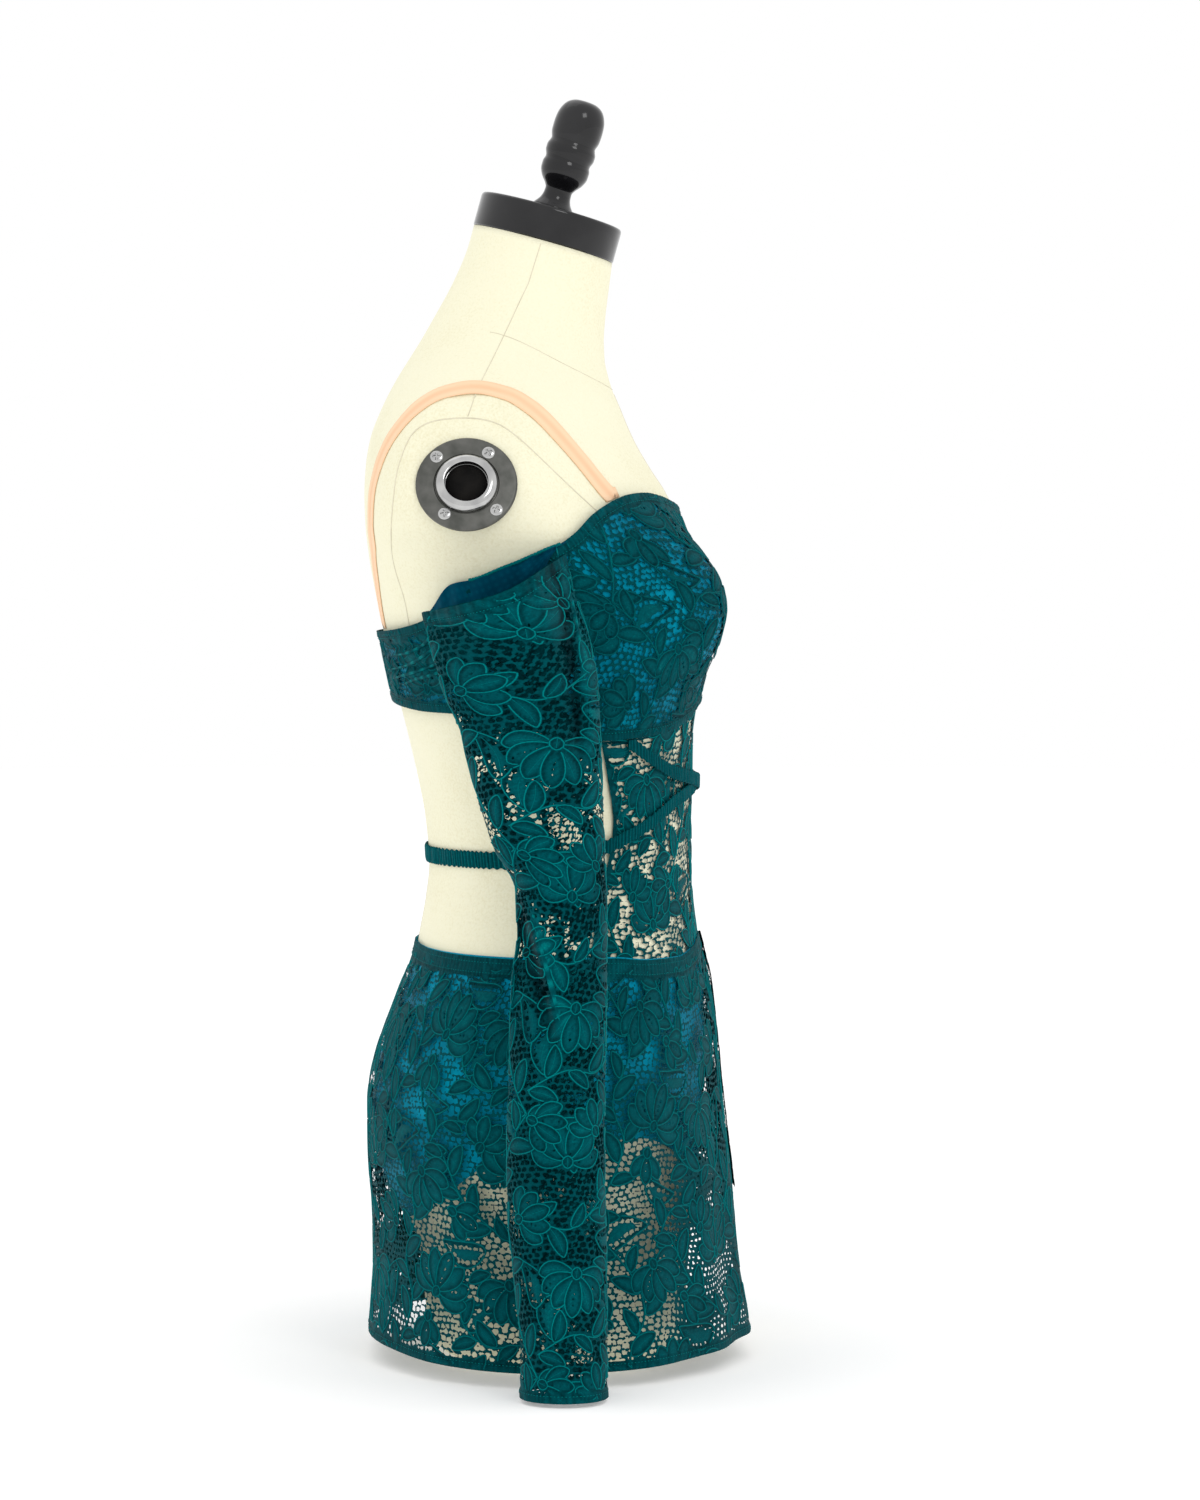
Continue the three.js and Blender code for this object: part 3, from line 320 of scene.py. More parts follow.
# A leaf has a middle rib, an eyelet petal a row of small holes, a paisley an open filling.
LEAF, EYELET_PETAL, PLAIN_PETAL, PAISLEY = range(4)
Motif = namedtuple("Motif", "x y angle length width bend taper kind")
CUT_EDGE = 1.4             # a panel has no gaps nearer to its edge than this
CORD_EDGE = 1.5            # nor cords nearer than this
BAND_RISE = 1.2            # the edge bands of a panel thicken over this width
BAND_GROOVE = (1.6, 0.7)   # their groove's place and half width
RIM_CORD = 0.62            # half the width of a cord round a motif
VEIN_CORD = 0.36           # down a leaf
STEM_CORD = 0.6            # along a stem


def wrap(delta, size):
    """The shortest way round a repeat."""
    return (delta + size / 2) % size - size / 2


def curve_through(points, step):
    """Points and directions every step along a smooth run through the given points."""
    points = np.array(points, float)
    t = np.arange(len(points), dtype=float)
    fine = np.linspace(0, len(points) - 1, len(points) * 20)
    i = np.clip(fine.astype(int), 0, len(points) - 2)
    s = (fine - i)[:, None]
    p0, p1, p2, p3 = (points[np.clip(i + k, 0, len(points) - 1)] for k in (-1, 0, 1, 2))
    path = 0.5 * (2 * p1 + (p2 - p0) * s + (2 * p0 - 5 * p1 + 4 * p2 - p3) * s ** 2
                  + (3 * p1 - p0 - 3 * p2 + p3) * s ** 3)
    run = lengths_along(path)
    at = np.linspace(0, run[-1], max(2, int(run[-1] / step) + 1))
    path = np.stack([np.interp(at, run, path[:, k]) for k in (0, 1)], -1)
    way = np.gradient(path, axis=0)
    return path, way / np.linalg.norm(way, axis=1, keepdims=True)


def motif_list():
    """Every leaf and petal of one repeat, the lowest first."""
    found = [Motif(*row, 0.35, PAISLEY) for row in PAISLEYS]

    def add(x, y, heading, gap, length, width, bend, taper, kind):
        reach = length / 2 + gap
        found.append(Motif(x + reach * math.cos(heading * DEG), y + reach * math.sin(heading * DEG),
                           heading, length, width, bend, taper, kind))

    for points, side, length, spacing in STEMS:
        path, way = curve_through(points, spacing)
        for k, ((x, y), (dx, dy)) in enumerate(zip(path, way)):
            turn = side * (1 if k % 2 else -1)
            long = length * (1 + 0.12 * math.sin(k * 2.4))
            add(x, y, math.atan2(dy, dx) / DEG + turn * 48, 1.2, long, long * 0.46, turn * -1.6, 0.1, LEAF)
    for x, y, facing, count, spread, length, width in SPRAYS:
        middle = (count - 1) / 2
        for k in sorted(range(count), key=lambda k: -abs(k - middle)):
            away = k - middle
            add(x, y, facing + away * spread, 1.5, length * (1 - 0.05 * abs(away)), width, away * 0.9, -0.28,
                EYELET_PETAL if k % 2 else PLAIN_PETAL)
        found.append(Motif(x, y, facing, 8.5, 7.5, 0, 0, PLAIN_PETAL))
    return found


MOTIFS = motif_list()


def half_width(motif, h):
    """Half a motif's width at h along it, from -1 to 1."""
    return motif.width / 2 * np.maximum(0, 1 - h * h) ** 0.68 * (1 - motif.taper * h)


def inside_motif(motif, x, y):
    """Millimetres inside a motif, place along it and across it."""
    dx, dy = wrap(x - motif.x, TILE[0]), wrap(y - motif.y, TILE[1])
    c, s = math.cos(motif.angle * DEG), math.sin(motif.angle * DEG)
    a, b = dx * c + dy * s, -dx * s + dy * c
    h = a / (motif.length / 2)
    b = b - motif.bend * (1 - h * h)
    inside = (half_width(motif, h) - np.abs(b)) * 0.92
    return np.where(np.abs(h) < 1, inside, -np.hypot(np.abs(a) - motif.length / 2, b)), a, b


def on_motif(motif, h, b):
    """Points at h along a motif, from -1 to 1, and b millimetres to the side."""
    a = h * motif.length / 2
    c, s = math.cos(motif.angle * DEG), math.sin(motif.angle * DEG)
    return np.stack([motif.x + a * c - b * s, motif.y + a * s + b * c], -1)


def motif_edge(motif, step=2.5):
    """Points round a motif."""
    count = max(6, int((motif.length + motif.width * 0.6) / step))
    h = -np.cos(np.linspace(0, np.pi, count))
    middle = motif.bend * (1 - h * h)
    half = half_width(motif, h)
    back = slice(-2, 0, -1)
    across = np.concatenate([middle + half, (middle - half)[back]])
    return on_motif(motif, np.concatenate([h, h[back]]), across)


def lace_tile():
    """solid: millimetres inside the thread (negative in a gap); relief; tone, which holds painted shade and
    highlights.
    """
    nx, ny = int(round(TILE[0] / TILE_STEP)), int(round(TILE[1] / TILE_STEP))
    x, y = np.meshgrid(np.arange(nx) * TILE_STEP, np.arange(ny) * TILE_STEP)
    # The ground: a net of rounded gaps, pushed about so that its rows wander.
    wx = x + 3.2 * np.sin(2 * np.pi * (y / 60 + 0.2 * np.sin(2 * np.pi * x / 75)))
    wy = y + 2.6 * np.sin(2 * np.pi * (x / 75 + 0.15 * np.sin(2 * np.pi * y / 90)))
    pitch_x, pitch_y = TILE[0] / NET[0], TILE[1] / NET[1]
    col, row = np.floor(wx / pitch_x), np.floor(wy / pitch_y)
    net = np.full((ny, nx), 9.0)
    for dj in (-1, 0, 1):
        for di in (-1, 0, 1):
            i, j = (col + di) % NET[0], (row + dj) % NET[1]
            shake = np.sin(i * 12.9898 + j * 78.233) * 43758.5453
            shake = shake - np.floor(shake)
            cx = (col + di + 0.5 + 0.5 * (j % 2) - 0.25) * pitch_x + 0.35 * np.cos(shake * 40)
            cy = (row + dj + 0.5) * pitch_y + 0.3 * np.sin(shake * 57)
            net = np.minimum(net, np.hypot(wx - cx, (wy - cy) * 1.08) - (1.68 + 0.45 * shake))

    motif, kind = np.full((ny, nx), -30.0), np.full((ny, nx), -1.0)
    along, across = np.zeros((ny, nx)), np.zeros((ny, nx))
    for one in MOTIFS:
        d, a, b = inside_motif(one, x, y)
        over = d > -CORD * 0.6
        motif = np.where(over, d, np.maximum(motif, d))
        kind, along, across = (np.where(over, new, old)
                               for new, old in ((one.kind, kind), (a, along), (b, across)))
    stem = np.full((ny, nx), 30.0)
    for points, *_ in STEMS:
        path, _ = curve_through(points, 1.5)
        for px, py in path:
            stem = np.minimum(stem, np.hypot(wrap(x - px, TILE[0]), wrap(y - py, TILE[1])))
    # Eyelets down the open petals, and a ring of net in the paisleys.
    eyelet = np.hypot((along % 3.6) - 1.8, across) - 1.05
    inner = np.where((kind == EYELET_PETAL) & (motif > 1.6), eyelet, 9.0)
    inner = np.where((kind == PAISLEY) & (motif > 1.5), np.maximum(net, motif - 5.2), inner)
    solid_motif = np.minimum(motif + CORD * 0.6, inner)
    solid = np.maximum(np.maximum(net, solid_motif), 0.95 - stem)
    edge = np.clip(solid / 0.8, 0, 1)
    cord = np.maximum(0, 1 - np.minimum((motif / (CORD + 0.3)) ** 2, (stem / 1.2) ** 2))
    fill = smooth(motif / 1.8)
    dished = smooth(motif / 4.5)
    ribs = (0.5 + 0.5 * np.cos((along + np.abs(across) * 0.8) * 2 * np.pi / 2.6)) * fill
    relief = (0.35 + 0.22 * dished + 0.3 * cord + 0.1 * ribs) * (0.3 + 0.7 * edge)
    # painted shade: a dark line along each motif's rim, inside and outside it
    painted_shading = hump(np.abs(motif), 1.5, 0.9) * (motif > -2.5)
    # Painted shade darkens each motif towards its rim, and painted highlights lighten it along its ribs; the
    # tone is also darker at the edges of the gaps.
    tone = np.where(motif > 0, 0.27 + 0.26 * dished + 0.14 * ribs, 0.52)
    return solid, relief, tone + 0.12 * cord - 0.16 * (1 - edge) - 0.14 * painted_shading


LACE = lace_tile()


def lace_at(s, t):
    """Bilinear look-up of the repeat at cloth position s, t."""
    ny, nx = LACE[0].shape
    gx, gy = s / TILE_STEP, t / TILE_STEP
    i, j = np.floor(gx).astype(int), np.floor(gy).astype(int)
    fx, fy = gx - i, gy - j
    i0, i1, j0, j1 = i % nx, (i + 1) % nx, j % ny, (j + 1) % ny
    return [f[j0, i0] * (1 - fx) * (1 - fy) + f[j0, i1] * fx * (1 - fy)
            + f[j1, i0] * (1 - fx) * fy + f[j1, i1] * fx * fy for f in LACE]


def make_mesh(name, points, faces, material, tone=None, uv=None):
    """points in millimetres; faces are rows of indices, all of one length."""
    mesh = bpy.data.meshes.new(name)
    mesh.from_pydata(points * MM, [], faces, shade_flat=False)
    mesh.validate()
    if tone is not None:
        layer = mesh.attributes.new("tone", "FLOAT", "POINT")
        layer.data.foreach_set("value", tone.astype(np.float32))
    if uv is not None:
        layer = mesh.uv_layers.new(name="cloth")
        layer.data.foreach_set("uv", (uv[faces.ravel()] * UV_PER_MM).astype(np.float32).ravel())
    obj = bpy.data.objects.new(name, mesh)
    bpy.context.scene.collection.objects.link(obj)
    mesh.materials.append(material)
    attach(obj, "root")
    return obj


def corners(across, along):
    """The places of a grid's points, and the four points of each of its cells."""
    u, v = np.meshgrid(np.linspace(0, 1, across + 1), np.linspace(0, 1, along + 1))
    index = np.arange(u.size).reshape(u.shape)
    return u.ravel(), v.ravel(), (index[:-1, :-1], index[:-1, 1:], index[1:, 1:], index[1:, :-1])


def grid(across, along):
    """The places of a grid's points, and its triangles; the diagonals alternate."""
    u, v, (a, b, c, d) = corners(across, along)
    odd = (np.add.outer(np.arange(along), np.arange(across)) % 2).astype(bool)[..., None]
    first = np.where(odd, np.stack([a, b, c], -1), np.stack([a, b, d], -1))
    second = np.where(odd, np.stack([a, c, d], -1), np.stack([b, c, d], -1))
    return u, v, np.concatenate([first.reshape(-1, 3), second.reshape(-1, 3)])


def ring_faces(rows, around):
    """The quads between closed rings of points, one ring after another."""
    index = np.arange(rows * around).reshape(rows, around)
    a, b = index[:-1], index[1:]
    return np.stack([a, np.roll(a, -1, 1), np.roll(b, -1, 1), b], -1).reshape(-1, 4)


def closed_rings(points, around, ends):
    """The points and triangles of closed rings, with a point in the middle of each end."""
    n = len(points)
    quads = ring_faces(n // around, around)
    first = np.arange(around)
    last = first + n - around
    low = np.stack([np.full(around, n), np.roll(first, -1), first], -1)
    high = np.stack([np.full(around, n + 1), last, np.roll(last, -1)], -1)
    triangles = np.concatenate([quads[:, [0, 1, 2]], quads[:, [0, 2, 3]], low, high])
    return np.concatenate([points, ends]), triangles


def tube(path, across, upward, radius, section):
    """The points and quads of a round tube along a path; across and upward span its section."""
    angle = (np.arange(section) / section * 2 * np.pi)[:, None]
    ring = across[:, None] * np.cos(angle) + upward[:, None] * np.sin(angle)
    return (path[:, None] + ring * radius).reshape(-1, 3), ring_faces(len(path), section)


def cut(triangles, field):
    """Clips triangles to where the field is positive. Returns the new triangles, and the two ends
    of the edge that each new point lies on, with its share of the way along."""
    field = np.where(np.abs(field) < 1e-4, 1e-4, field)
    keep = field > 0
    count = keep[triangles].sum(1)
    n = len(field)

    def odd_one_first(rows, wanted):
        start = (keep[rows] == wanted).argmax(1)
        return np.take_along_axis(rows, (start[:, None] + np.arange(3)) % 3, 1)

    one = odd_one_first(triangles[count == 1], True)
    two = odd_one_first(triangles[count == 2], False)
    pairs = np.concatenate([one[:, [0, 1]], one[:, [0, 2]], two[:, [0, 1]], two[:, [0, 2]]])
    keys, inverse = np.unique(pairs.min(1) * n + pairs.max(1), return_inverse=True)
    splits = np.cumsum([len(one), len(one), len(two)])
    one_b, one_c, two_b, two_c = np.split(inverse.ravel() + n, splits)
    p, q = keys // n, keys % n
    parts = [triangles[count == 3], np.stack([one[:, 0], one_b, one_c], -1),
             np.stack([two_b, two[:, 1], two[:, 2]], -1), np.stack([two_b, two[:, 2], two_c], -1)]
    return np.concatenate(parts), p, q, field[p] / (field[p] - field[q])


def compact(points, faces, *extras):
    """Leaves out the points that no face uses."""
    used = np.unique(faces)
    renumber = np.full(len(points), -1)
    renumber[used] = np.arange(len(used))
    return points[used], renumber[faces], *(extra[used] for extra in extras)


def outward(at, s, t, flip):
    """The normals of a sheet on its outer side."""
    across = at(s + 0.8, t) - at(s - 0.8, t)
    along = at(s, t + 0.8) - at(s, t - 0.8)
    return unit(np.cross(across, along)) * (-1 if flip else 1)


def lace_sheet(name, part, step, shift, flip, closer, painted_shading):
    """A lace panel. part has cloth(u, v), the place in the lace of a corner of its grid; at(s, t),
    the point where that place hangs; band(s, t), how far it is inside an edge band, in
    millimetres; and size. closer(points) is how much smaller the holes are; the last argument,
    called with the points, gives painted light and shade: how much lighter the cloth is painted."""
    across, along = int(part.size[0] / step), int(part.size[1] / step)
    u, v, triangles = grid(across, along)
    s, t = part.cloth(u, v)
    to_edge = np.minimum(np.minimum(u, 1 - u) * part.size[0], np.minimum(v, 1 - v) * part.size[1])
    solid = lace_at(s + shift[0], t + shift[1])[0]
    if closer:
        solid = solid + closer(part.at(s, t))
    field = np.maximum.reduce([solid, part.band(s, t), CUT_EDGE - to_edge])
    triangles, p, q, share = cut(triangles, field)
    u = np.concatenate([u, mix(u[p], u[q], share)])
    v = np.concatenate([v, mix(v[p], v[q], share)])
    u, triangles, v = compact(u, triangles, v)
    s, t = part.cloth(u, v)
    _, relief, tone = lace_at(s + shift[0], t + shift[1])
    band = part.band(s, t)
    inside = smooth(band / BAND_RISE)
    groove = hump(band, *BAND_GROOVE)
    puckers = 0.2 * np.sin(s * 1.75 + 2 * np.sin(s * 0.31))
    relief = mix(relief, 0.8 + 0.5 * relief + puckers, inside) - 0.4 * groove
    # In the bands the tone is painted light on the puckers' crests, and painted shade in their hollows and in
    # the groove.
    tone = mix(tone, 0.16 + 0.62 * tone + 0.4 * puckers, inside) - 0.14 * groove
    points = part.at(s, t) + outward(part.at, s, t, flip) * relief[:, None]
    # painted light and shade, given for each point, added to the tone
    if painted_shading:
        tone = tone + painted_shading(points)
    if flip:
        triangles = triangles[:, ::-1]
    return make_mesh(name, points, triangles, LACE_CLOTH, tone, np.stack([s, t], -1))


def cord_runs():
    """The raised cords of one repeat: round every motif where no later one covers it, down the
    leaves, and along the stems. Gives each point, its direction, half the cord's width, whether
    it shows, and whether it is joined to the next."""
    runs = []

    def add(path, after, half):
        shows = np.ones(len(path), bool)
        for later in MOTIFS[after:]:
            shows &= inside_motif(later, *path.T)[0] < 0.25
        joined = np.arange(len(path)) < len(path) - 1
        runs.append((path, unit(np.gradient(path, axis=0)), np.full(len(path), half), shows, joined))

    for k, motif in enumerate(MOTIFS):
        edge = motif_edge(motif)
        add(np.concatenate([edge, edge[:1]]), k + 1, RIM_CORD)
        if motif.kind != EYELET_PETAL:
            h = np.linspace(-0.85, 0.7, 8)
            add(on_motif(motif, h, motif.bend * (1 - h * h)), k + 1, VEIN_CORD)
    for points, *_ in STEMS:
        add(curve_through(points, 2.2)[0], 0, STEM_CORD)
    return [np.concatenate(column) for column in zip(*runs)]


CORDS = cord_runs()


def cords(name, part, shift, flip, bright):
    """The raised cords of a panel's lace."""
    corner = np.linspace(0, 1, 41)
    s, t = part.cloth(*(w.ravel() for w in np.meshgrid(corner, corner)))
    spans = [np.arange((w.min() + move) // size - 1, (w.max() + move) // size + 2)
             for w, move, size in zip((s, t), shift, TILE)]
    moves = [(i * TILE[0] - shift[0], j * TILE[1] - shift[1]) for i in spans[0] for j in spans[1]]
    points = np.concatenate([CORDS[0] + move for move in moves])
    way, half, shows, joined = (np.concatenate([column] * len(moves)) for column in CORDS[1:])
    for place, ends in zip(points.T, (s, t)):
        shows &= (place > ends.min() + CORD_EDGE) & (place < ends.max() - CORD_EDGE)
    band = part.band(*points[shows].T)
    shows[shows] = (band < -0.4) | ((band > 2.4) & (band < part.rim))
    links = np.flatnonzero(joined)
    links = links[shows[links] & shows[links + 1]]
    points, links, way, half = compact(points, np.stack([links, links + 1], -1), way, half)
    side = np.stack([-way[:, 1], way[:, 0]], -1) * half[:, None]
    lift = 0.45 * smooth(part.band(*points.T) / BAND_RISE)
    rows = []
    for shove, high in ((1, 0.3 + lift), (0, 0.55 + 0.85 * half + lift), (-1, 0.3 + lift)):
        s, t = (points + side * shove).T
        rows.append(part.at(s, t) + outward(part.at, s, t, flip) * high[:, None])
    n = len(points)
    a, b = links.T
    quads = np.concatenate([np.stack([a + k, a + n + k, b + n + k, b + k], -1) for k in (0, n)])
    if not flip:
        quads = quads[:, ::-1]
    tone = bright * np.concatenate([np.full(n, 0.5), 0.82 + 0.16 * (half > 0.5), np.full(n, 0.5)])
    uv = np.concatenate([points + side * k for k in (1, 0, -1)])
    return make_mesh(name, np.concatenate(rows), quads, LACE_CLOTH, tone, uv)


def plain_sheet(name, place, across, along, material, uv_size, flip=False):
    """A single smooth layer of cloth."""
    u, v, cells = corners(across, along)
    quads = np.stack(cells, -1).reshape(-1, 4)
    if flip:
        quads = quads[:, ::-1]
    uv = np.stack([u * uv_size[0], v * uv_size[1]], -1)
    return make_mesh(name, place(u, v), quads, material, None, uv)


def ribbon(name, rail, steps, wide, thick, material, wave=None, crown=0.6, frill=None):
    """A flat band with rounded edges along rail(t, across, height)."""
    section = 14
    angle = np.arange(section) / section * 2 * np.pi
    t, c = np.meshgrid(np.linspace(0, 1, steps + 1), spow(np.cos(angle), 0.45), indexing="ij")
    s = spow(np.sin(angle), crown) + 0 * t
    ripple = wave(t, c) if wave else 0 * t
    reach = c * (wide / 2 + (frill(t, c) if frill else 0))
    points = rail(t.ravel(), reach.ravel(), ((0.5 + 0.5 * s) * thick + ripple * (s > 0.3)).ravel())
    index = np.arange(t.size).reshape(t.shape)
    ends = [[row[k - 1], row[k], row[-1 - k], row[-k]][::turn]
            for row, turn in ((index[0], 1), (index[-1], -1)) for k in range(1, section // 2)]
    quads = np.concatenate([ring_faces(steps + 1, section)[:, [0, 3, 2, 1]], ends])
    uv = np.stack([(c * wide / 2).ravel(), (t * 100).ravel()], -1)
    # The tone is painted light and shade on the ripples: lighter on their crests, darker in their hollows.
    return make_mesh(name, points, quads, material, (0.5 + 0.45 * np.clip(ripple, -0.5, 0.5)).ravel(), uv)


# ---- materials
class Look:
    """A material, with short calls that add and join its nodes."""

    def __init__(self, name, slot, on_cloth, settings):
        """Its textures lie on the sheet's own layer, or else in the object's space. settings are
        values of the shader's sockets."""
        self.material = bpy.data.materials.new(name)
        self.material.use_nodes = True
        self.bsdf = self.material.node_tree.nodes["Principled BSDF"]
        for socket, value in settings.items():
            self.bsdf.inputs[socket].default_value = value
        if on_cloth:
            layer = self.add("UVMap")
            layer.uv_map = "cloth"
            self.place = layer.outputs["UV"]
        else:
            self.place = self.add("TexCoord").outputs["Object"]

    def add(self, kind, values=()):
        """A node of a kind, with values of its sockets."""
        node = self.material.node_tree.nodes.new("ShaderNode" + kind)
        for socket, value in dict(values).items():
            node.inputs[socket].default_value = value
        return node

    def join(self, output, socket):
        self.material.node_tree.links.new(output, socket)

    def noise(self, scale, detail=2.0, rough=0.5):
        node = self.add("TexNoise", {"Scale": scale, "Detail": detail, "Roughness": rough})
        self.join(self.place, node.inputs["Vector"])
        return node.outputs["Fac"]

    def wave(self, axis, values):
        node = self.add("TexWave", values)
        node.bands_direction = axis
        self.join(self.place, node.inputs["Vector"])
        return node.outputs["Fac"]

    def threads(self, axes, values):
        """Two crossed sets of threads."""
        return self.maths("MULTIPLY", *(self.wave(axis, values) for axis in axes))

    def weave(self, pitch):
        """Two crossed sets of threads, pitch millimetres apart, on the cloth layer."""
        return self.threads("XY", {"Scale": 5 / pitch, "Distortion": 0.6, "Detail": 1})

    def maths(self, operation, a, b):
        node = self.add("Math")
        node.operation = operation
        for socket, value in zip(node.inputs, (a, b)):
            if isinstance(value, (int, float)):
                socket.default_value = value
            else:
                self.join(value, socket)
        return node.outputs[0]

    def blend(self, a, share_a, b, share_b):
        return self.maths("ADD", self.maths("MULTIPLY", a, share_a), self.maths("MULTIPLY", b, share_b))

    def colour(self, level, stops):
        node = self.add("ValToRGB")
        while len(node.color_ramp.elements) < len(stops):
            node.color_ramp.elements.new(0.5)
        for element, (place, colour) in zip(node.color_ramp.elements, stops):
            element.position = place
            element.color = (*colour, 1)
        self.join(level, node.inputs["Fac"])
        self.join(node.outputs["Color"], self.bsdf.inputs["Base Color"])

    def worn(self, level, share, base):
        """Roughness that goes up with the level."""
        rough = self.maths("ADD", self.maths("MULTIPLY", level, share), base)
        self.join(rough, self.bsdf.inputs["Roughness"])

    def bump(self, height, distance, strength):
        node = self.add("Bump", {"Distance": distance, "Strength": strength})
        self.join(height, node.inputs["Height"])
        self.join(node.outputs["Normal"], self.bsdf.inputs["Normal"])


def lace_material():
    look = Look("teal_lace", "teal_lace", True, {
        "Roughness": 0.72, "IOR": 1.25, "Specular IOR Level": 0.5, "Specular Tint": (0.0, 0.75, 0.8, 1)})
    tone = look.add("Attribute")
    tone.attribute_name = "tone"
    thread = look.noise(95)
    cloudy = look.noise(2.2, 3)
    level = look.maths("ADD", tone.outputs["Fac"], look.blend(thread, 0.34, cloudy, 0.26))
    level = look.maths("MULTIPLY", look.maths("SUBTRACT", level, 0.42), 0.9)
    look.colour(level, [(0.0, (0.0, 0.010, 0.014)), (0.45, (0.0, 0.074, 0.088)), (1.0, (0.0, 0.33, 0.325))])
    look.bump(look.maths("ADD", thread, look.maths("MULTIPLY", look.weave(0.9), 0.5)), 0.00022, 0.8)
    return look.material


def lining_material(name, low, high):
    look = Look(name, "blue_lining", True, {
        "Roughness": 0.6, "IOR": 1.3, "Specular Tint": (0.0, 0.7, 0.9, 1)})
    knit = look.weave(0.8)
    look.colour(look.blend(look.noise(1.6, 3), 0.9, knit, 0.1), [(0.25, low), (0.75, high)])
    look.bump(knit, 0.00012, 0.5)
    return look.material


def linen_material():
    look = Look("form_linen", "form_linen", False, {
        "Roughness": 0.9, "Specular IOR Level": 0.2, "Sheen Weight": 0.08})
    threads = look.threads("XZ", {"Scale": 48, "Distortion": 3.5, "Detail": 2, "Detail Scale": 3})
    slub = look.noise(600, 3)
    stain = look.noise(7, 4, 0.55)
    look.colour(look.blend(slub, 0.45, stain, 0.55), [
        (0.3, (0.80, 0.75, 0.51)), (0.5, (0.90, 0.87, 0.655)), (0.68, (0.915, 0.89, 0.69))])
    look.bump(look.maths("ADD", threads, slub), 0.00035, 0.5)
    return look.material


def gloss_material():
    look = Look("gloss_black", "gloss_black", False, {
        "Coat Weight": 0.2, "Coat Roughness": 0.05, "Specular IOR Level": 0.35})
    wear = look.noise(40, 4)
    look.colour(wear, [(0.3, (0.004, 0.004, 0.005)), (0.8, (0.012, 0.012, 0.013))])
    look.worn(wear, 0.14, 0.06)
    return look.material


def fine_material(name, low, high, rough, settings):
    """A finely mottled metal or paint."""
    look = Look(name, "satin_steel", False, settings)
    mottle = look.noise(90, 3)
    look.colour(mottle, [(0.3, low), (0.7, high)])
    look.worn(mottle, 0.12, rough)
    return look.material


def elastic_material():
    look = Look("skin_elastic", "skin_elastic", True, {"Roughness": 0.6})
    ribs = look.wave("X", {"Scale": 3.2})
    look.colour(look.blend(ribs, 0.4, look.noise(6, 2), 0.6), [
        (0.2, (0.90, 0.55, 0.32)), (0.8, (0.97, 0.69, 0.45))])
    look.bump(ribs, 0.0002, 0.6)
    return look.material


METAL = {"Metallic": 1.0}
MATT = {"Specular IOR Level": 0.1}
LACE_CLOTH = lace_material()
# The hip lining is a lighter copy of the same blue lining: painted light, to make up for the shade under the
# skirt.
HIP_LINING_PAINTED_LIGHTER = lining_material("blue_lining", (0.0, 0.22, 0.36), (0.0, 0.38, 0.56))
DEEP_LINING = lining_material("deep_blue_lining", (0.0, 0.15, 0.25), (0.0, 0.29, 0.42))
# The facing is the same blue lining painted much darker: painted shade under the top of each sleeve.
FACING_LINING_PAINTED_SHADE = lining_material("facing_lining_painted_shade", (0.0, 0.018, 0.045), (0.0, 0.10, 0.17))
LINEN = linen_material()
GLOSS = gloss_material()
STEEL = fine_material("satin_steel", (0.085, 0.088, 0.08), (0.15, 0.15, 0.14), 0.32, METAL)
SOCKET = fine_material("socket_dark", (0.004, 0.004, 0.004), (0.012, 0.011, 0.01), 0.8, MATT)
CHROME = fine_material("chrome", (0.42, 0.42, 0.42), (0.58, 0.58, 0.57), 0.05, METAL)
THREAD = fine_material("form_seam", (0.66, 0.61, 0.46), (0.78, 0.73, 0.57), 0.7, MATT)
ELASTIC = elastic_material()


# ---- the dress form
def form_shell():
    """The padded form, closed at the neck and below."""
    around = 144
    z = np.concatenate([np.linspace(0, 24, 18), np.linspace(24, FORM[-1, 0], 150)[1:]])
    deg, z = np.meshgrid(np.linspace(0, 360, around, endpoint=False), z)
    points = form_point(deg.ravel(), z.ravel())
    points, triangles = closed_rings(points, around, [points[:around].mean(0), points[-around:].mean(0)])
    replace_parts(make_mesh("dress_form", points, triangles, LINEN), "form_torso")


def thread_line(deg, z, radius, off):
    """A fine round line along these angles and heights of the form."""
    points = on_form(deg, z, np.full_like(z, off))
    normal = unit(on_form(deg, z, np.full_like(z, off + 1.0)) - points)
    side = unit(np.cross(unit(np.gradient(points, axis=0)), normal))
    return tube(points, normal, side, radius, 6)


def lathe(profile, around):
    """Rings about +Z from (radius, height) rows; the first and last rows lie on the axis."""
    profile = np.array(profile, float)
    turn = np.arange(around) / around * 2 * np.pi
    radius, height = profile[1:-1].T[..., None]
    points = np.stack([radius * np.cos(turn), radius * np.sin(turn), height + 0 * turn], -1).reshape(-1, 3)
    return closed_rings(points, around, [[0, 0, profile[0, 1]], [0, 0, profile[-1, 1]]])


def rounded(points):
    """A smooth run through the rows of a profile."""
    last = len(points) - 1
    at = table(np.column_stack([np.arange(last + 1), points]))
    return [tuple(row) for row in at(np.linspace(0, last, last * 3 + 1)).T]


def turned(name, profile, around, material, origin, axis, node=None, sharp=None, press=None):
    """A turned piece about an axis through origin. sharp is the angle of its sharpest soft edge;
    press(points) moves its points while it stands upright."""
    points, triangles = lathe(profile, around)
    if press:
        press(points)
    turn = Vector((0, 0, 1)).rotation_difference(Vector(unit(axis))).to_matrix()
    obj = make_mesh(name, points @ np.array(turn).T + origin, triangles, material)
    if sharp:
        obj.data.set_sharp_from_angle(angle=sharp * DEG)
    if node:
        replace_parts(obj, node)


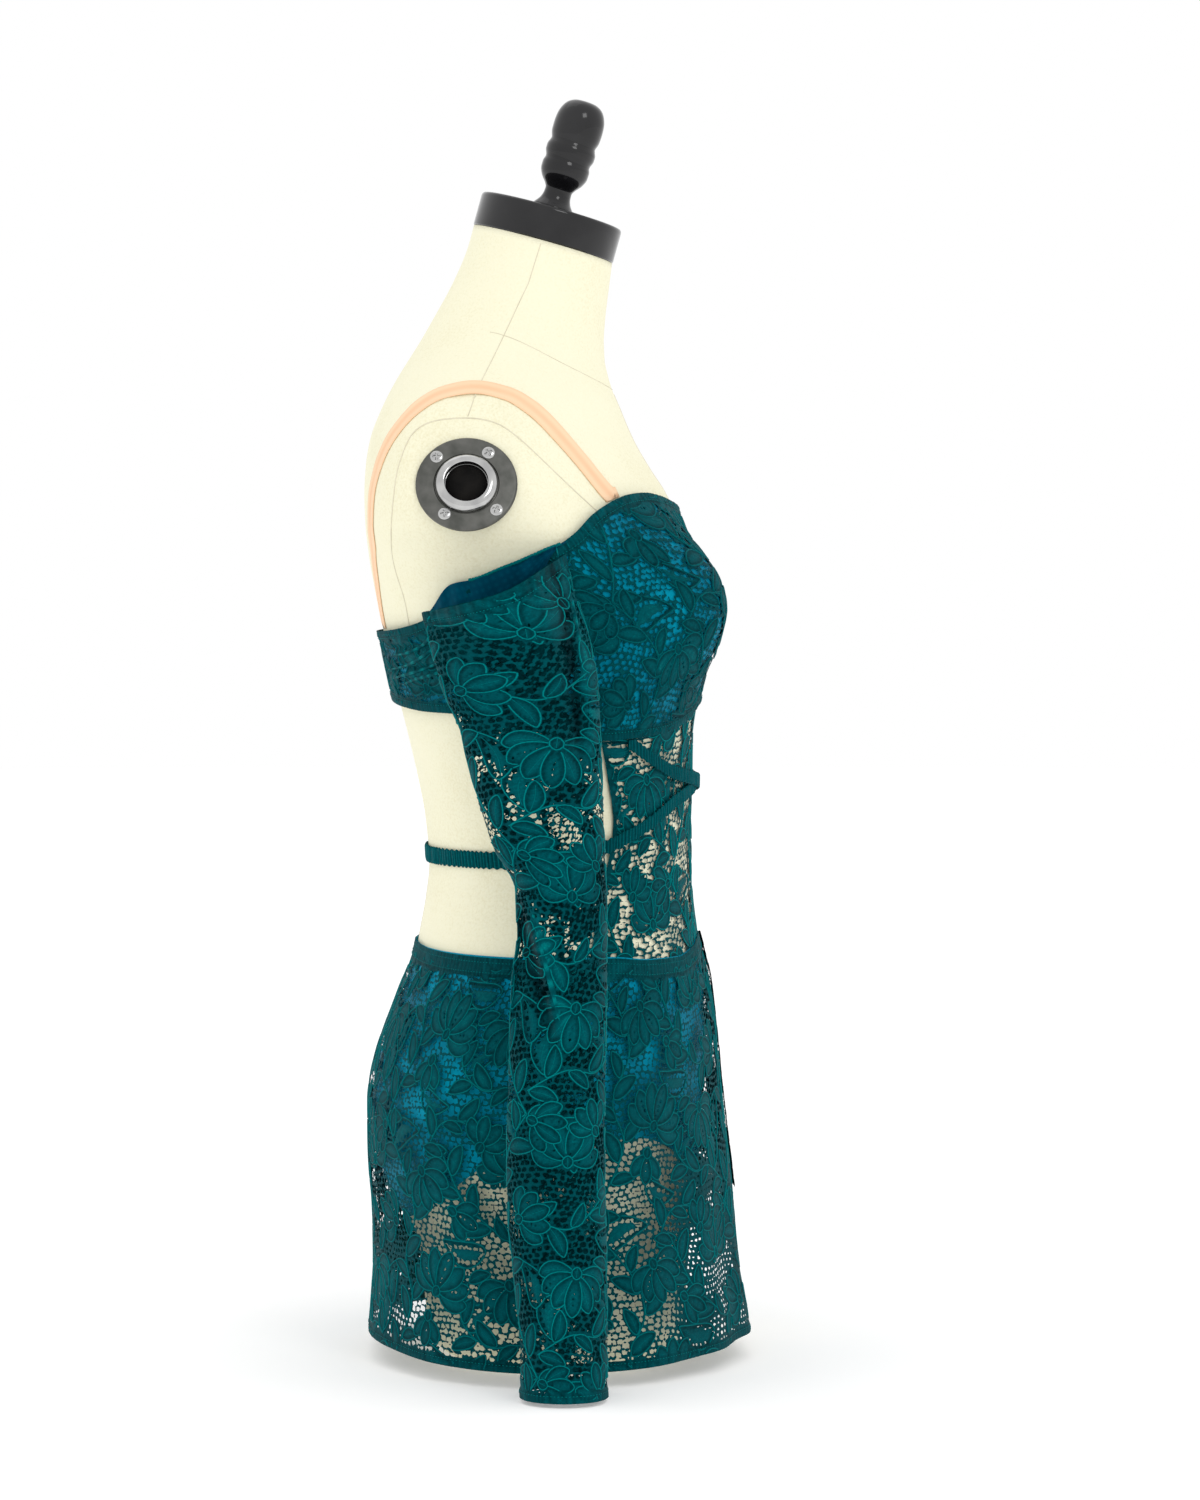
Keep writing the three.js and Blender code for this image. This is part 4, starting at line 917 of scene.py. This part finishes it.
NECK_LEAN = 15.5           # degrees forward of upright
FINIAL_LEAN = 2            # more than the neck
NECK_TOP = np.array([-8.6, 0, 806.7])
CAP_GAP = 0.3              # between the form and the cap
CAP_HIGH = 26              # of the finial's foot above the form
PLATE_GAP = 0.4            # between the form and an armhole plate


def neck_axis(lean):
    return np.array([math.sin(lean * DEG), 0, math.cos(lean * DEG)])


def neck_cap():
    edge = [(0, 0), (52.0, 0), (52.6, 0.7), (52.6, 22.2), (52.3, 23.6), (51.5, 24.6), (50.2, 25), (0, 25)]
    axis = neck_axis(NECK_LEAN)
    turned("cap_on_neck", edge, 96, GLOSS, NECK_TOP + axis * CAP_GAP, axis, "neck_cap", 35)


def finial():
    profile = [(15, 0), (15, 1.6), (14, 3.2), (11.4, 6.8), (10.1, 11), (9.9, 14.5), (11.4, 17.6), (15, 22),
               (17.5, 28), (17.6, 32.5), (16.6, 36), (16.7, 37.5), (18.1, 41.5), (18.2, 45), (17, 48.6),
               (16.5, 50.4), (17, 52.2), (18, 56), (18.2, 62), (17.8, 68), (16, 74), (12.6, 78.8),
               (7.5, 81.4), (2.5, 82)]
    turned("turned_finial", [(0, 0), *rounded(profile), (0, 82)], 64, GLOSS,
           NECK_TOP + neck_axis(NECK_LEAN) * CAP_HIGH, neck_axis(NECK_LEAN + FINIAL_LEAN), "cap_finial")


def arm_plates():
    tilt = ARM["tilt"] * DEG
    flange = [(0, 0), (34.6, 0), (35.5, 0.8), (35.5, 2), (34.9, 2.7), (33.8, 3), (23, 3), (22.4, 2.2),
              (0, 2.2)]
    cup = [(22, 2.3), (22, 3.4), (21.6, 5), (20.4, 6.6), (18.6, 7.7), (16.8, 8.1), (15.6, 7.9), (15, 7.2)]
    ring = [(0, 2.3), *rounded(cup), (14.9, 5), (14.9, 2.9), (0, 2.9)]
    disc = [(0, 2.95), (14.7, 2.95), (14.7, 3.1), (0, 3.1)]
    for side, sign in SIDES:
        axis = np.array([0, sign * math.cos(tilt), math.sin(tilt)])
        centre = np.array([ARM["x"], sign * ARM["y"], ARM["z"]]) + axis * PLATE_GAP
        turned(f"arm_flange_{side}", flange, 96, STEEL, centre, axis, f"arm_plate_{side}", 35)
        turned(f"arm_ring_{side}", ring, 96, CHROME, centre, axis, None, 40)
        turned(f"arm_socket_{side}", disc, 64, SOCKET, centre, axis)
        screws(side, centre, axis)


def screws(side, centre, axis):
    """Four countersunk cross-head screws in each flange."""
    upward = unit(np.cross([1.0, 0, 0], axis))
    upward = upward * np.sign(upward[2])
    head = rounded([(4.6, 2.8), (4.6, 3.3), (4.0, 3.8), (2.4, 4.2), (0.6, 4.3)])
    for k, (dx, dy) in enumerate(((-21, 20.5), (15, 23.5), (21, -20), (-15, -23))):

        def slot(points, k=k):
            """Presses the cross into the head."""
            angle = np.arctan2(points[:, 1], points[:, 0]) + k
            reach = np.hypot(points[:, 0], points[:, 1])
            arm = reach * np.minimum(np.abs(np.sin(angle)), np.abs(np.cos(angle)))
            points[:, 2] -= np.where((arm < 0.55) & (reach < 2.6) & (points[:, 2] > 3.6), 0.9, 0)

        spot = centre + upward * dy + [dx, 0, 0]
        turned(f"screw_{side}_{k}", [(0, 2.8), *head, (0, 4.3)], 28, CHROME, spot, axis, None, 50, slot)


def form_seams():
    """The seams of the form's cover: armhole, shoulder, neck, sides and middle."""
    points, quads = [], []

    def add(deg, z, radius=0.42):
        line, faces = thread_line(deg, z, radius, -0.12)
        quads.append(faces + sum(map(len, points)))
        points.append(line)

    hole, _ = curve_through([(-98, 505), (-102.7, 534), (-105.5, 550), (-113.9, 583.6), (-110.4, 629),
                             (-105.5, 650.7), (-97.1, 667.5), (-82.4, 677.2), (-59.4, 680), (-39.1, 675.1),
                             (-21.6, 661.2), (7.7, 633.2), (27.3, 613.7), (40, 600)], 3)
    shoulder = np.linspace(681, 804, 60)
    shoulder_x = np.interp(shoulder, [681, 707, 743, 775, 804], [-59.7, -49.4, -33.4, -18.5, -9.6])
    side = np.linspace(3, 548, 90)
    side_x = np.interp(side, [0, 200, 350, 548], [0, -8, 2, -20])
    for _, sign in SIDES:
        add(sign * form_deg(*hole.T), hole[:, 1], 0.55)
        add(sign * form_deg(shoulder_x, shoulder), shoulder)
        add(sign * form_deg(side_x, side), side)
    deg = np.linspace(-99, 99, 120)
    add(deg, 704 + 35 * smooth(np.abs(deg) / 99))
    middle = np.linspace(3, 700, 110)
    for deg in (0.0, 180.0):
        add(np.full_like(middle, deg), middle)
    make_mesh("form_seams", np.concatenate(points), np.concatenate(quads), THREAD)


# ---- panels
def arcs(surface, level):
    """Length round a surface at one height against the angle, both ways."""
    deg = np.linspace(-200, 400, 1201)
    points = surface(deg, np.full_like(deg, float(level)))
    run = lengths_along(points)
    run = run - np.interp(0, deg, run)
    return (lambda at: np.interp(at, deg, run)), (lambda at: np.interp(at, run, deg))


def panel(surface, level, ends, low, high, off, edges):
    """A panel between two angles and two edges. edges are the widths of its bands: top, bottom,
    first side, last side."""
    run_of, deg_of = arcs(surface, level)
    first, last = run_of(ends[0]), run_of(ends[1])
    spread = deg_of(np.linspace(first, last, 200))
    size = (last - first, float((high(spread) - low(spread)).max()))

    def cloth(u, v):
        s = mix(first, last, u)
        deg = deg_of(s)
        return s, mix(low(deg), high(deg), v)

    def at(s, t):
        deg = deg_of(s)
        return offset(surface, deg, t, off(deg, t) if callable(off) else off + 0 * t)

    def band(s, t):
        deg = deg_of(s)
        step = run_of(deg + 1) - run_of(deg - 1)
        found = []
        for edge, wide, sign in ((high, edges[0], 1), (low, edges[1], -1)):
            slope = (edge(deg + 1) - edge(deg - 1)) / step
            found.append(wide - sign * (edge(deg) - t) / np.sqrt(1 + slope ** 2))
        return np.maximum.reduce([*found, edges[2] - (s - first), edges[3] - (last - s)])

    return SimpleNamespace(cloth=cloth, at=at, band=band, size=size, rim=min(edges[:2]) - 0.8)


def cut_size(part):
    """Width and length of a panel laid flat, and its area, its gaps filled, in millimetres."""
    u, v = np.meshgrid(np.linspace(0, 1, 90), np.linspace(0, 1, 60))
    p = part.at(*part.cloth(u.ravel(), v.ravel())).reshape(60, 90, 3)
    a, b, c, d = p[:-1, :-1], p[:-1, 1:], p[1:, 1:], p[1:, :-1]
    area = sum(np.linalg.norm(np.cross(e - a, f - a), axis=-1).sum() / 2 for e, f in ((b, c), (c, d)))
    across = np.linalg.norm(np.diff(p, axis=1), axis=-1).sum(1).max()
    along = np.linalg.norm(np.diff(p, axis=0), axis=-1).sum(0).max()
    return across, along, area


def lace_panel(name, nodes, part, rows=(), step=1.5, shift=(0, 0), flip=False,
               closer=None, bright=1.0, painted_shading=None):
    """A lace panel with its cords and the rows of stitches on it. step is the size of its grid's
    cells, shift its place in the lace's repeat, and bright how light its cords are."""
    obj = lace_sheet(name, part, step, shift, flip, closer, painted_shading)
    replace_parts(obj, *nodes)
    declare(part, [cords(name + "_cords", part, shift, flip, bright), *rows])


def stitches(name, path, normal, pitch=2.6, long=1.7, wide=0.42, high=0.32):
    """A row of small thread stitches along a path of points."""
    run = lengths_along(path)
    at = np.arange(pitch / 2, run[-1], pitch)

    def pick(values, where):
        return np.stack([np.interp(where, run, column) for column in values.T], -1)

    middle, out = pick(path, at), unit(pick(normal, at))
    ahead = unit(pick(path, np.minimum(at + 0.6, run[-1])) - pick(path, np.maximum(at - 0.6, 0)))
    side = unit(np.cross(out, ahead))
    ahead, side, low = ahead * long / 2, side * wide / 2, out * high * 0.2
    points = np.stack([middle - ahead, middle - side + low, middle + out * high, middle + side + low,
                       middle + ahead], 1).reshape(-1, 3)
    shape = np.array([[0, 1, 2], [0, 2, 3], [4, 2, 1], [4, 3, 2]])
    faces = (shape[None] + (np.arange(len(at)) * 5)[:, None, None]).reshape(-1, 3)
    uv = np.stack([points[:, 0] + points[:, 1], points[:, 2]], -1)
    return make_mesh(name, points, faces, LACE_CLOTH, np.full(len(points), 0.95), uv)


def edge_rows(name, part, top, bottom, flip=False):
    """Rows of stitches at these depths below the top edge and above the bottom edge of a panel."""
    made = []
    u = np.linspace(0.004, 0.996, max(60, int(part.size[0] / 2.5)))
    for word, depths, v, sign in (("top", top, 1, -1), ("low", bottom, 0, 1)):
        for k, depth in enumerate(depths):
            s, t = part.cloth(u, v + 0 * u)
            ahead = np.gradient(t) / np.gradient(s)
            t = t + sign * depth * np.sqrt(1 + ahead ** 2)
            normal = outward(part.at, s, t, flip)
            made.append(stitches(f"{name}_{word}_stitch_{k}", part.at(s, t) + normal * 1.05, normal))
    return made


def lining(name, node, level, ends, low, high, off, inset, material):
    """A plain layer of the lining, a little inside the edges of its lace."""
    part = panel(form_point, level, ends, lambda d: low(d) + inset, lambda d: high(d) - inset, off,
                 (0, 0, 0, 0))
    across, along = (int(size / LINING_STEP) for size in part.size)
    obj = plain_sheet(name, lambda u, v: part.at(*part.cloth(u, v)), across, along, material, part.size)
    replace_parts(obj, node)
    declare(part)


def declare(part, with_pieces=()):
    cut_size(part)


def pulled(deg, z):
    """How far the lace stands off the form across the back, in the folds the sleeves pull there."""
    turn = np.minimum(deg, 360 - deg)
    place = smooth((turn - 92) / 22) * smooth((172 - turn) / 20) * smooth((z - bottom_at(turn) - 6) / 18)
    run = z + 0.34 * (turn - 130) + 4 * np.sin(turn * 0.07)
    fold = 1.5 * np.sin(run * 0.42) + 0.6 * np.sin(run * 0.83 + 1)
    return OFF["back_lace"] + place * smooth((top_at(turn) - z - 4) / 12) * fold


def bodice():
    for word, level, ends, off, shift in (
            ("front", 540, (-SIDE_SEAM, SIDE_SEAM), OFF["bodice_lace"], (20, 12)),
            ("back", 500, (SIDE_SEAM + 0.3, 359.7 - SIDE_SEAM), pulled, (60, 40))):
        lining(f"bodice_lining_{word}", f"bodice_{word}_lining", level, ends, bottom_at, top_at,
               OFF["bodice_lining"], 1.6, DEEP_LINING)
        part = panel(form_point, level, ends, bottom_at, top_at, off, (7, 7, 0, 0))
        rows = edge_rows(f"bodice_{word}", part, (5.4,), (5.4,))
        lace_panel(f"bodice_lace_{word}", [f"bodice_{word}_lace"], part,
                   rows, shift=shift, bright=0.78)


def back_creases():
    """The creases that run down from each sleeve across the back of the bodice."""
    # degrees at its two ends, below the top edge at the first, and further below at the last
    creases = ((103, 150, 9, 9), (104, 164, 17, 12), (103, 158, 26, 9), (112, 150, 35, 4))
    for side, sign in SIDES:
        for k, (first, last, drop, sag) in enumerate(creases):
            deg = np.linspace(first, last, 70)
            share = (deg - first) / (last - first)
            z = top_at(deg) - drop - sag * smooth(share) + 1.2 * np.sin(share * 7 + k)
            fold_roll(f"back_crease_{side}_{k}", mirrored(on_form(deg, z, pulled(deg, z) + 0.7), sign), 1.3)


def facings():
    """The bodice's lining where it shows turned out above each sleeve."""
    def high(u):
        """Angle and height of the facing's top edge."""
        deg = mix(66.0, 121.0, u)
        return deg, top_at(deg) + 1.5 * smooth((deg - 66) / 8) + 9 * hump(deg, 108, 9)

    for side, sign in SIDES:
        def place(u, v, sign=sign):
            deg, top = high(u)
            low = top_at(deg) - 1 - 25 * smooth((deg - 68) / 24)
            pull = (0.7 * np.sin(u * 41 + v * 5) + 0.5 * np.sin(u * 17 - v * 7)) * smooth(v * 2)
            lift = 1.5 * smooth(1 - v) * np.sin(np.pi * u) + pull
            points = on_form(deg, mix(low, top, v), OFF["facing"] + 0 * deg)
            return mirrored(points + lift[..., None] * np.array([0, 1, 0]), sign)

        # the facing's dark colour is painted shade on the blue lining
        obj = plain_sheet(f"underarm_facing_cloth_{side}", place, 70, 22, FACING_LINING_PAINTED_SHADE, (125, 32), sign < 0)
        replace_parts(obj, f"underarm_facing_{side}")
        u = np.linspace(0.03, 0.6, 120)
        deg, top = high(u)
        edge, faces = thread_line(sign * deg, top + 0.12 * np.sin(u * 300), 1.15, 5.2)
        make_mesh(f"underarm_edge_{side}", edge, faces, LACE_CLOTH, np.full(len(edge), 0.75), edge[:, [0, 2]])
        part = SimpleNamespace(cloth=lambda u, v: (u, v), at=place)
        declare(part)


def shoulder_straps():
    def middle(t):
        deg, z = strap_at(np.clip(t, 0, 1))
        return deg, np.maximum(z, top_at(deg) + 0.8)

    for side, sign in SIDES:
        def rail(t, across, height, sign=sign):
            deg, z = middle(t)
            on = form_point(deg, z)
            out = unit(on_form(deg, z, 2.0 + 0 * t) - on)
            way = unit(np.cross(out, unit(form_point(*middle(t + 0.01)) - form_point(*middle(t - 0.01)))))
            deg, z = slide(deg, z, on + way * across[:, None])
            return mirrored(on_form(deg, np.maximum(z, top_at(deg) + 0.8), OFF["elastic"] + height), sign)

        obj = ribbon(f"elastic_strap_{side}", rail, 220, 16, 0.8, ELASTIC, crown=0.15)
        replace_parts(obj, f"shoulder_strap_{side}")


def slide(deg, z, target):
    """Angle and height of the place on the form nearest to each target point."""
    for _ in range(5):
        here = form_point(deg, z)
        across = form_point(deg + 0.5, z) - form_point(deg - 0.5, z)
        along = form_point(deg, z + 0.5) - form_point(deg, z - 0.5)
        a, b, c = (across * across).sum(-1), (across * along).sum(-1), (along * along).sum(-1)
        d, e = ((target - here) * across).sum(-1), ((target - here) * along).sum(-1)
        det = np.maximum(a * c - b * b, 1e-6)
        deg = deg + np.clip((c * d - b * e) / det, -6, 6)
        z = z + np.clip((a * e - b * d) / det, -6, 6)
    return deg, z


def midriff():
    """The sheer front, from under the bodice to under the skirt's waist."""
    mm_per_deg = 2.15

    def cloth(u, v):
        z, deg = 380 + 0 * u, 0 * u
        for _ in range(8):
            deg = form_deg(midriff_edge(z)[0], z) * (2 * u - 1)
            z = mix(waist_at(deg) - 6, bottom_at(deg) - 0.8, v)
        return deg * mm_per_deg, z

    def at(s, t):
        return on_form(s / mm_per_deg, t, OFF["midriff"] + 0 * t)

    def band(s, t):
        return 3.4 - (form_deg(midriff_edge(t)[0], t) * mm_per_deg - np.abs(s))

    part = SimpleNamespace(cloth=cloth, at=at, band=band, size=(168.0, 152.0), rim=0)
    lace_panel("midriff_lace_front", ["midriff_lace"], part, step=1.4,
               shift=(75, 30))


def gathers(t, c, length, seed):
    """Ripples of a gathered elastic strap."""
    s = t * length
    return (0.42 * np.sin(s * 1.9 + 1.3 * np.sin(s * 0.23 + seed) + c * 0.7)
            + 0.25 * np.sin(s * 3.1 + seed * 2 + c * 1.9 + np.sin(s * 0.4)))


def waist_straps():
    """Two straps that cross at the front, and the one that joins them behind."""
    for name, node, sign, over, seed in (("crossing_strap_right", "cross_strap_right", 1, 2.6, 0.4),
                                         ("crossing_strap_left", "cross_strap_left", -1, 0.0, 2.1)):
        def rail(t, across, height, sign=sign, over=over):
            deg = mix(-60.0, 84.0, t)
            z, off = cross_at(deg)
            lift = over * hump(deg, 0, 26)
            z = np.minimum(z + across, bottom_at(np.abs(deg)) - 0.8)
            return on_form(sign * deg, z, off + lift + height)

        obj = ribbon(name, rail, 520, 10, 1.3, LACE_CLOTH,
                     wave=lambda t, c, seed=seed: gathers(t, c, 330, seed) * 0.8,
                     frill=lambda t, c, seed=seed: 0.5 * np.sin(t * 410 + seed + c + 3 * np.sin(t * 37)))
        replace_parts(obj, node)

    def rail(t, across, height):
        deg = mix(STRAP_JOIN, 360 - STRAP_JOIN, t)
        z = 364.9 + across + 2.6 * hump(np.minimum(deg, 360 - deg), STRAP_JOIN, 9)
        return on_form(deg, z, OFF["waist_strap"] + height)

    obj = ribbon("back_waist_strap", rail, 620, 12, 1.3, LACE_CLOTH,
                 wave=lambda t, c: gathers(t, c, 370, 1.2),
                 frill=lambda t, c: 0.6 * np.sin(t * 430 + c + 3 * np.sin(t * 41)))
    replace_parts(obj, "waist_strap_back")


def skirt():
    lining("hip_lining_cloth", "hip_lining", 240, (0.2, 359.8), lining_low_at, waist_at,
           OFF["hip_lining"], 0.8, HIP_LINING_PAINTED_LIGHTER)

    def low(deg):
        return 19 - 8.5 * np.abs(np.sin(deg * DEG)) ** 1.6

    def right_hem(deg):
        return mix(low(deg), 128.0, np.clip((deg - 5) / 19.0, 0, 1) ** 1.3)

    def flap_hem(deg):
        return mix(117.0, low(deg), smooth((deg - 14) / 64.0))

    def inward(deg, z):
        return -0.9 - 2.6 * smooth((z - waist_at(deg) + 40) / 38)

    def under_flap(deg, z):
        return inward(deg, z) + 1.7 * smooth((deg + 34) / 24) * smooth((285 - z) / 50)

    def closer(p):
        x, z = p[:, 0], p[:, 2]
        return (0.7 * smooth((x - 80) / 12) * smooth((170 - z) / 30)
                + 0.55 * smooth((-x - 98) / 12) * smooth((110 - z) / 40) - 0.04 * smooth((z - 150) / 30))

    def flap_out(deg, z):
        return (2.0 + 1.6 * smooth((300 - z) / 180)) * smooth((42 - deg) / 18) * smooth((335 - z) / 40)

    def flap_point(deg, z):
        return skirt_point(deg, z, flap_out(deg, z))

    side = SIDE_SEAM - 4
    for name, node, surface, ends, hem, edges, shift, step in (
            ("skirt_lace_back", "skirt_back_lace", skirt_point, (side + 0.2, 359.8 - side), low,
             (13, 7, 0, 0), (10, 20), 1.7),
            ("skirt_lace_right", "skirt_right_lace", skirt_point, (-side, 24), right_hem,
             (13, 7, 0, 4), (65, 84), 1.5),
            ("skirt_lace_left", "skirt_left_lace", flap_point, (1, side), flap_hem,
             (13, 7, 2, 0), (90, 120), 1.7)):
        off = under_flap if name.endswith("right") else inward
        part = panel(surface, 150, ends, hem, waist_at, off, edges)
        rows = edge_rows(name, part, (3.4, 10.4), (5.0,))
        lace_panel(name, [node], part, rows, step, shift,
                   closer=closer, bright=0.9)


def fold_roll(name, path, radius):
    """The rounded lip of a fold: a tube along points of the cloth, thin at both ends."""
    section = 8
    share = np.linspace(0, 1, len(path))
    thick = radius * np.sin(np.pi * share)[:, None, None] ** 0.6 + 0.05
    tangent = unit(np.gradient(path, axis=0))
    side = unit(np.cross(tangent, [0.0, 0.0, 1.0]))
    points, quads = tube(path, side, np.cross(side, tangent), thick, section)
    tone = 0.62 + 0.2 * np.sin(np.repeat(share, section) * 60)
    make_mesh(name, points, quads, LACE_CLOTH, tone, points[:, [0, 2]])


def sleeve_line(x, z, sign):
    """Points on the outer side of a sleeve at these X and heights."""
    back, front = sleeve_at(z)[:2]
    turn = np.degrees(np.arccos(np.clip(2 * (x - back) / (front - back) - 1, -1, 1)))
    return mirrored(offset(sleeve_point, turn, z, 1.1 + 0 * z, 3, 3), -sign)


def sleeves():
    top_of = table(SLEEVE_TOP)

    def edge(turn):
        return top_of(mix(-96.0, 6.0, (1 + np.cos(turn * DEG)) / 2))[0]

    for side, sign in SIDES:
        def cloth(u, v):
            return u * 200.0, mix(3.0, edge(270 + 360 * u), v)

        def at(s, t, sign=sign):
            turn = 270 + s * 1.8
            ruck = 0.55 * hump(t, edge(turn), 26) * np.sin(turn * 0.62 + 0.8 * np.sin(turn * 0.11))
            return mirrored(offset(sleeve_point, turn, t, -0.1 - ruck, 3, 3), -sign)

        def band(s, t):
            return np.maximum(9 - (edge(270 + s * 1.8) - t), 7 - (t - 3))

        # Painted light and shade at the folds: darker beside the elbow fold and down the pleat, lighter on
        # their ridges.
        def painted_shading(p):
            x, z = p[:, 0], p[:, 2]
            fold_x, fold_deep = fold_at(z)
            pleat_x, pleat_deep = pleat_at(z)
            return (fold_deep * (0.014 * hump(x, fold_x + 8, 5) - 0.03 * hump(x, fold_x - 4, 6))
                    + pleat_deep * (0.03 * hump(x, pleat_x + 9, 5) - 0.07 * hump(x, pleat_x, 4)))

        part = SimpleNamespace(cloth=cloth, at=at, band=band, size=(200.0, 560.0), rim=6.2)
        rows = edge_rows(f"sleeve_{side}", part, (7.2,), (5.0,), sign < 0)
        lace_panel(f"sleeve_lace_{side}", [f"sleeve_{side}_outer", f"sleeve_{side}_inner"], part,
                   rows, 1.5 if sign < 0 else 2.2, (30, 0), sign < 0, painted_shading=painted_shading)
        z = np.linspace(348, 240, 90)
        fold_roll(f"elbow_fold_{side}", sleeve_line(fold_at(z)[0] + 5, z, sign), 2.3)
        z = np.linspace(588, 470, 90)
        fold_roll(f"front_pleat_{side}", sleeve_line(pleat_at(z)[0] + 8, z, sign), 1.8)


form_shell()
form_seams()
neck_cap()
finial()
arm_plates()
bodice()
back_creases()
facings()
shoulder_straps()
midriff()
waist_straps()
skirt()
sleeves()


# ---- the room
FLOOR_RADIUS = 9
CAMERA_AT = Vector((0.03285, -3.5, 0.592))
CAMERA_AIM = Vector((0.03285, 0, 0.4387))
CAMERA_LENS = 115.07


def room():
    mesh = bpy.data.meshes.new("room_floor")
    turn = np.linspace(0, 2 * np.pi, 64, endpoint=False)
    ring = [(FLOOR_RADIUS * math.cos(t), FLOOR_RADIUS * math.sin(t), 0) for t in turn]
    mesh.from_pydata(ring, [], [list(range(len(ring)))])
    floor = bpy.data.objects.new("room_floor", mesh)
    bpy.context.scene.collection.objects.link(floor)
    material = bpy.data.materials.new("backdrop")
    material.use_nodes = True
    bsdf = material.node_tree.nodes["Principled BSDF"]
    bsdf.inputs["Base Color"].default_value = (0.9, 0.9, 0.9, 1)
    bsdf.inputs["Roughness"].default_value = 1.0
    bsdf.inputs["Specular IOR Level"].default_value = 0.0
    bsdf.inputs["Emission Color"].default_value = (1, 1, 1, 1)
    bsdf.inputs["Emission Strength"].default_value = 0.22
    mesh.materials.append(material)


def light(name, place, aim, size, power):
    """A soft lamp that faces aim."""
    data = bpy.data.lights.new(name, "AREA")
    data.shape = "RECTANGLE"
    data.size, data.size_y = size
    data.energy = power
    obj = bpy.data.objects.new(name, data)
    obj.location = place
    obj.rotation_euler = (Vector(aim) - Vector(place)).to_track_quat("-Z", "Y").to_euler()
    bpy.context.scene.collection.objects.link(obj)


room()
light("key", (1.2, -2.4, 2.5), (0, 0, 0.45), (0.9, 0.9), 10)
light("top", (-0.6, 0.6, 3.0), (0, 0, 0.4), (1.6, 1.6), 3)
world = bpy.data.worlds.new("room_air")
bpy.context.scene.world = world
world.use_nodes = True
world.node_tree.nodes["Background"].inputs["Color"].default_value = (1, 1, 1, 1)
world.node_tree.nodes["Background"].inputs["Strength"].default_value = 1.0

camera = bpy.data.cameras.new("camera")
camera.sensor_fit = "VERTICAL"
camera.sensor_height = 36
camera.lens = CAMERA_LENS
eye = bpy.data.objects.new("camera", camera)
eye.location = CAMERA_AT
eye.rotation_euler = (CAMERA_AIM - CAMERA_AT).to_track_quat("-Z", "Y").to_euler()
bpy.context.scene.collection.objects.link(eye)
bpy.context.scene.camera = eye
bpy.context.scene.view_settings.view_transform = "Standard"
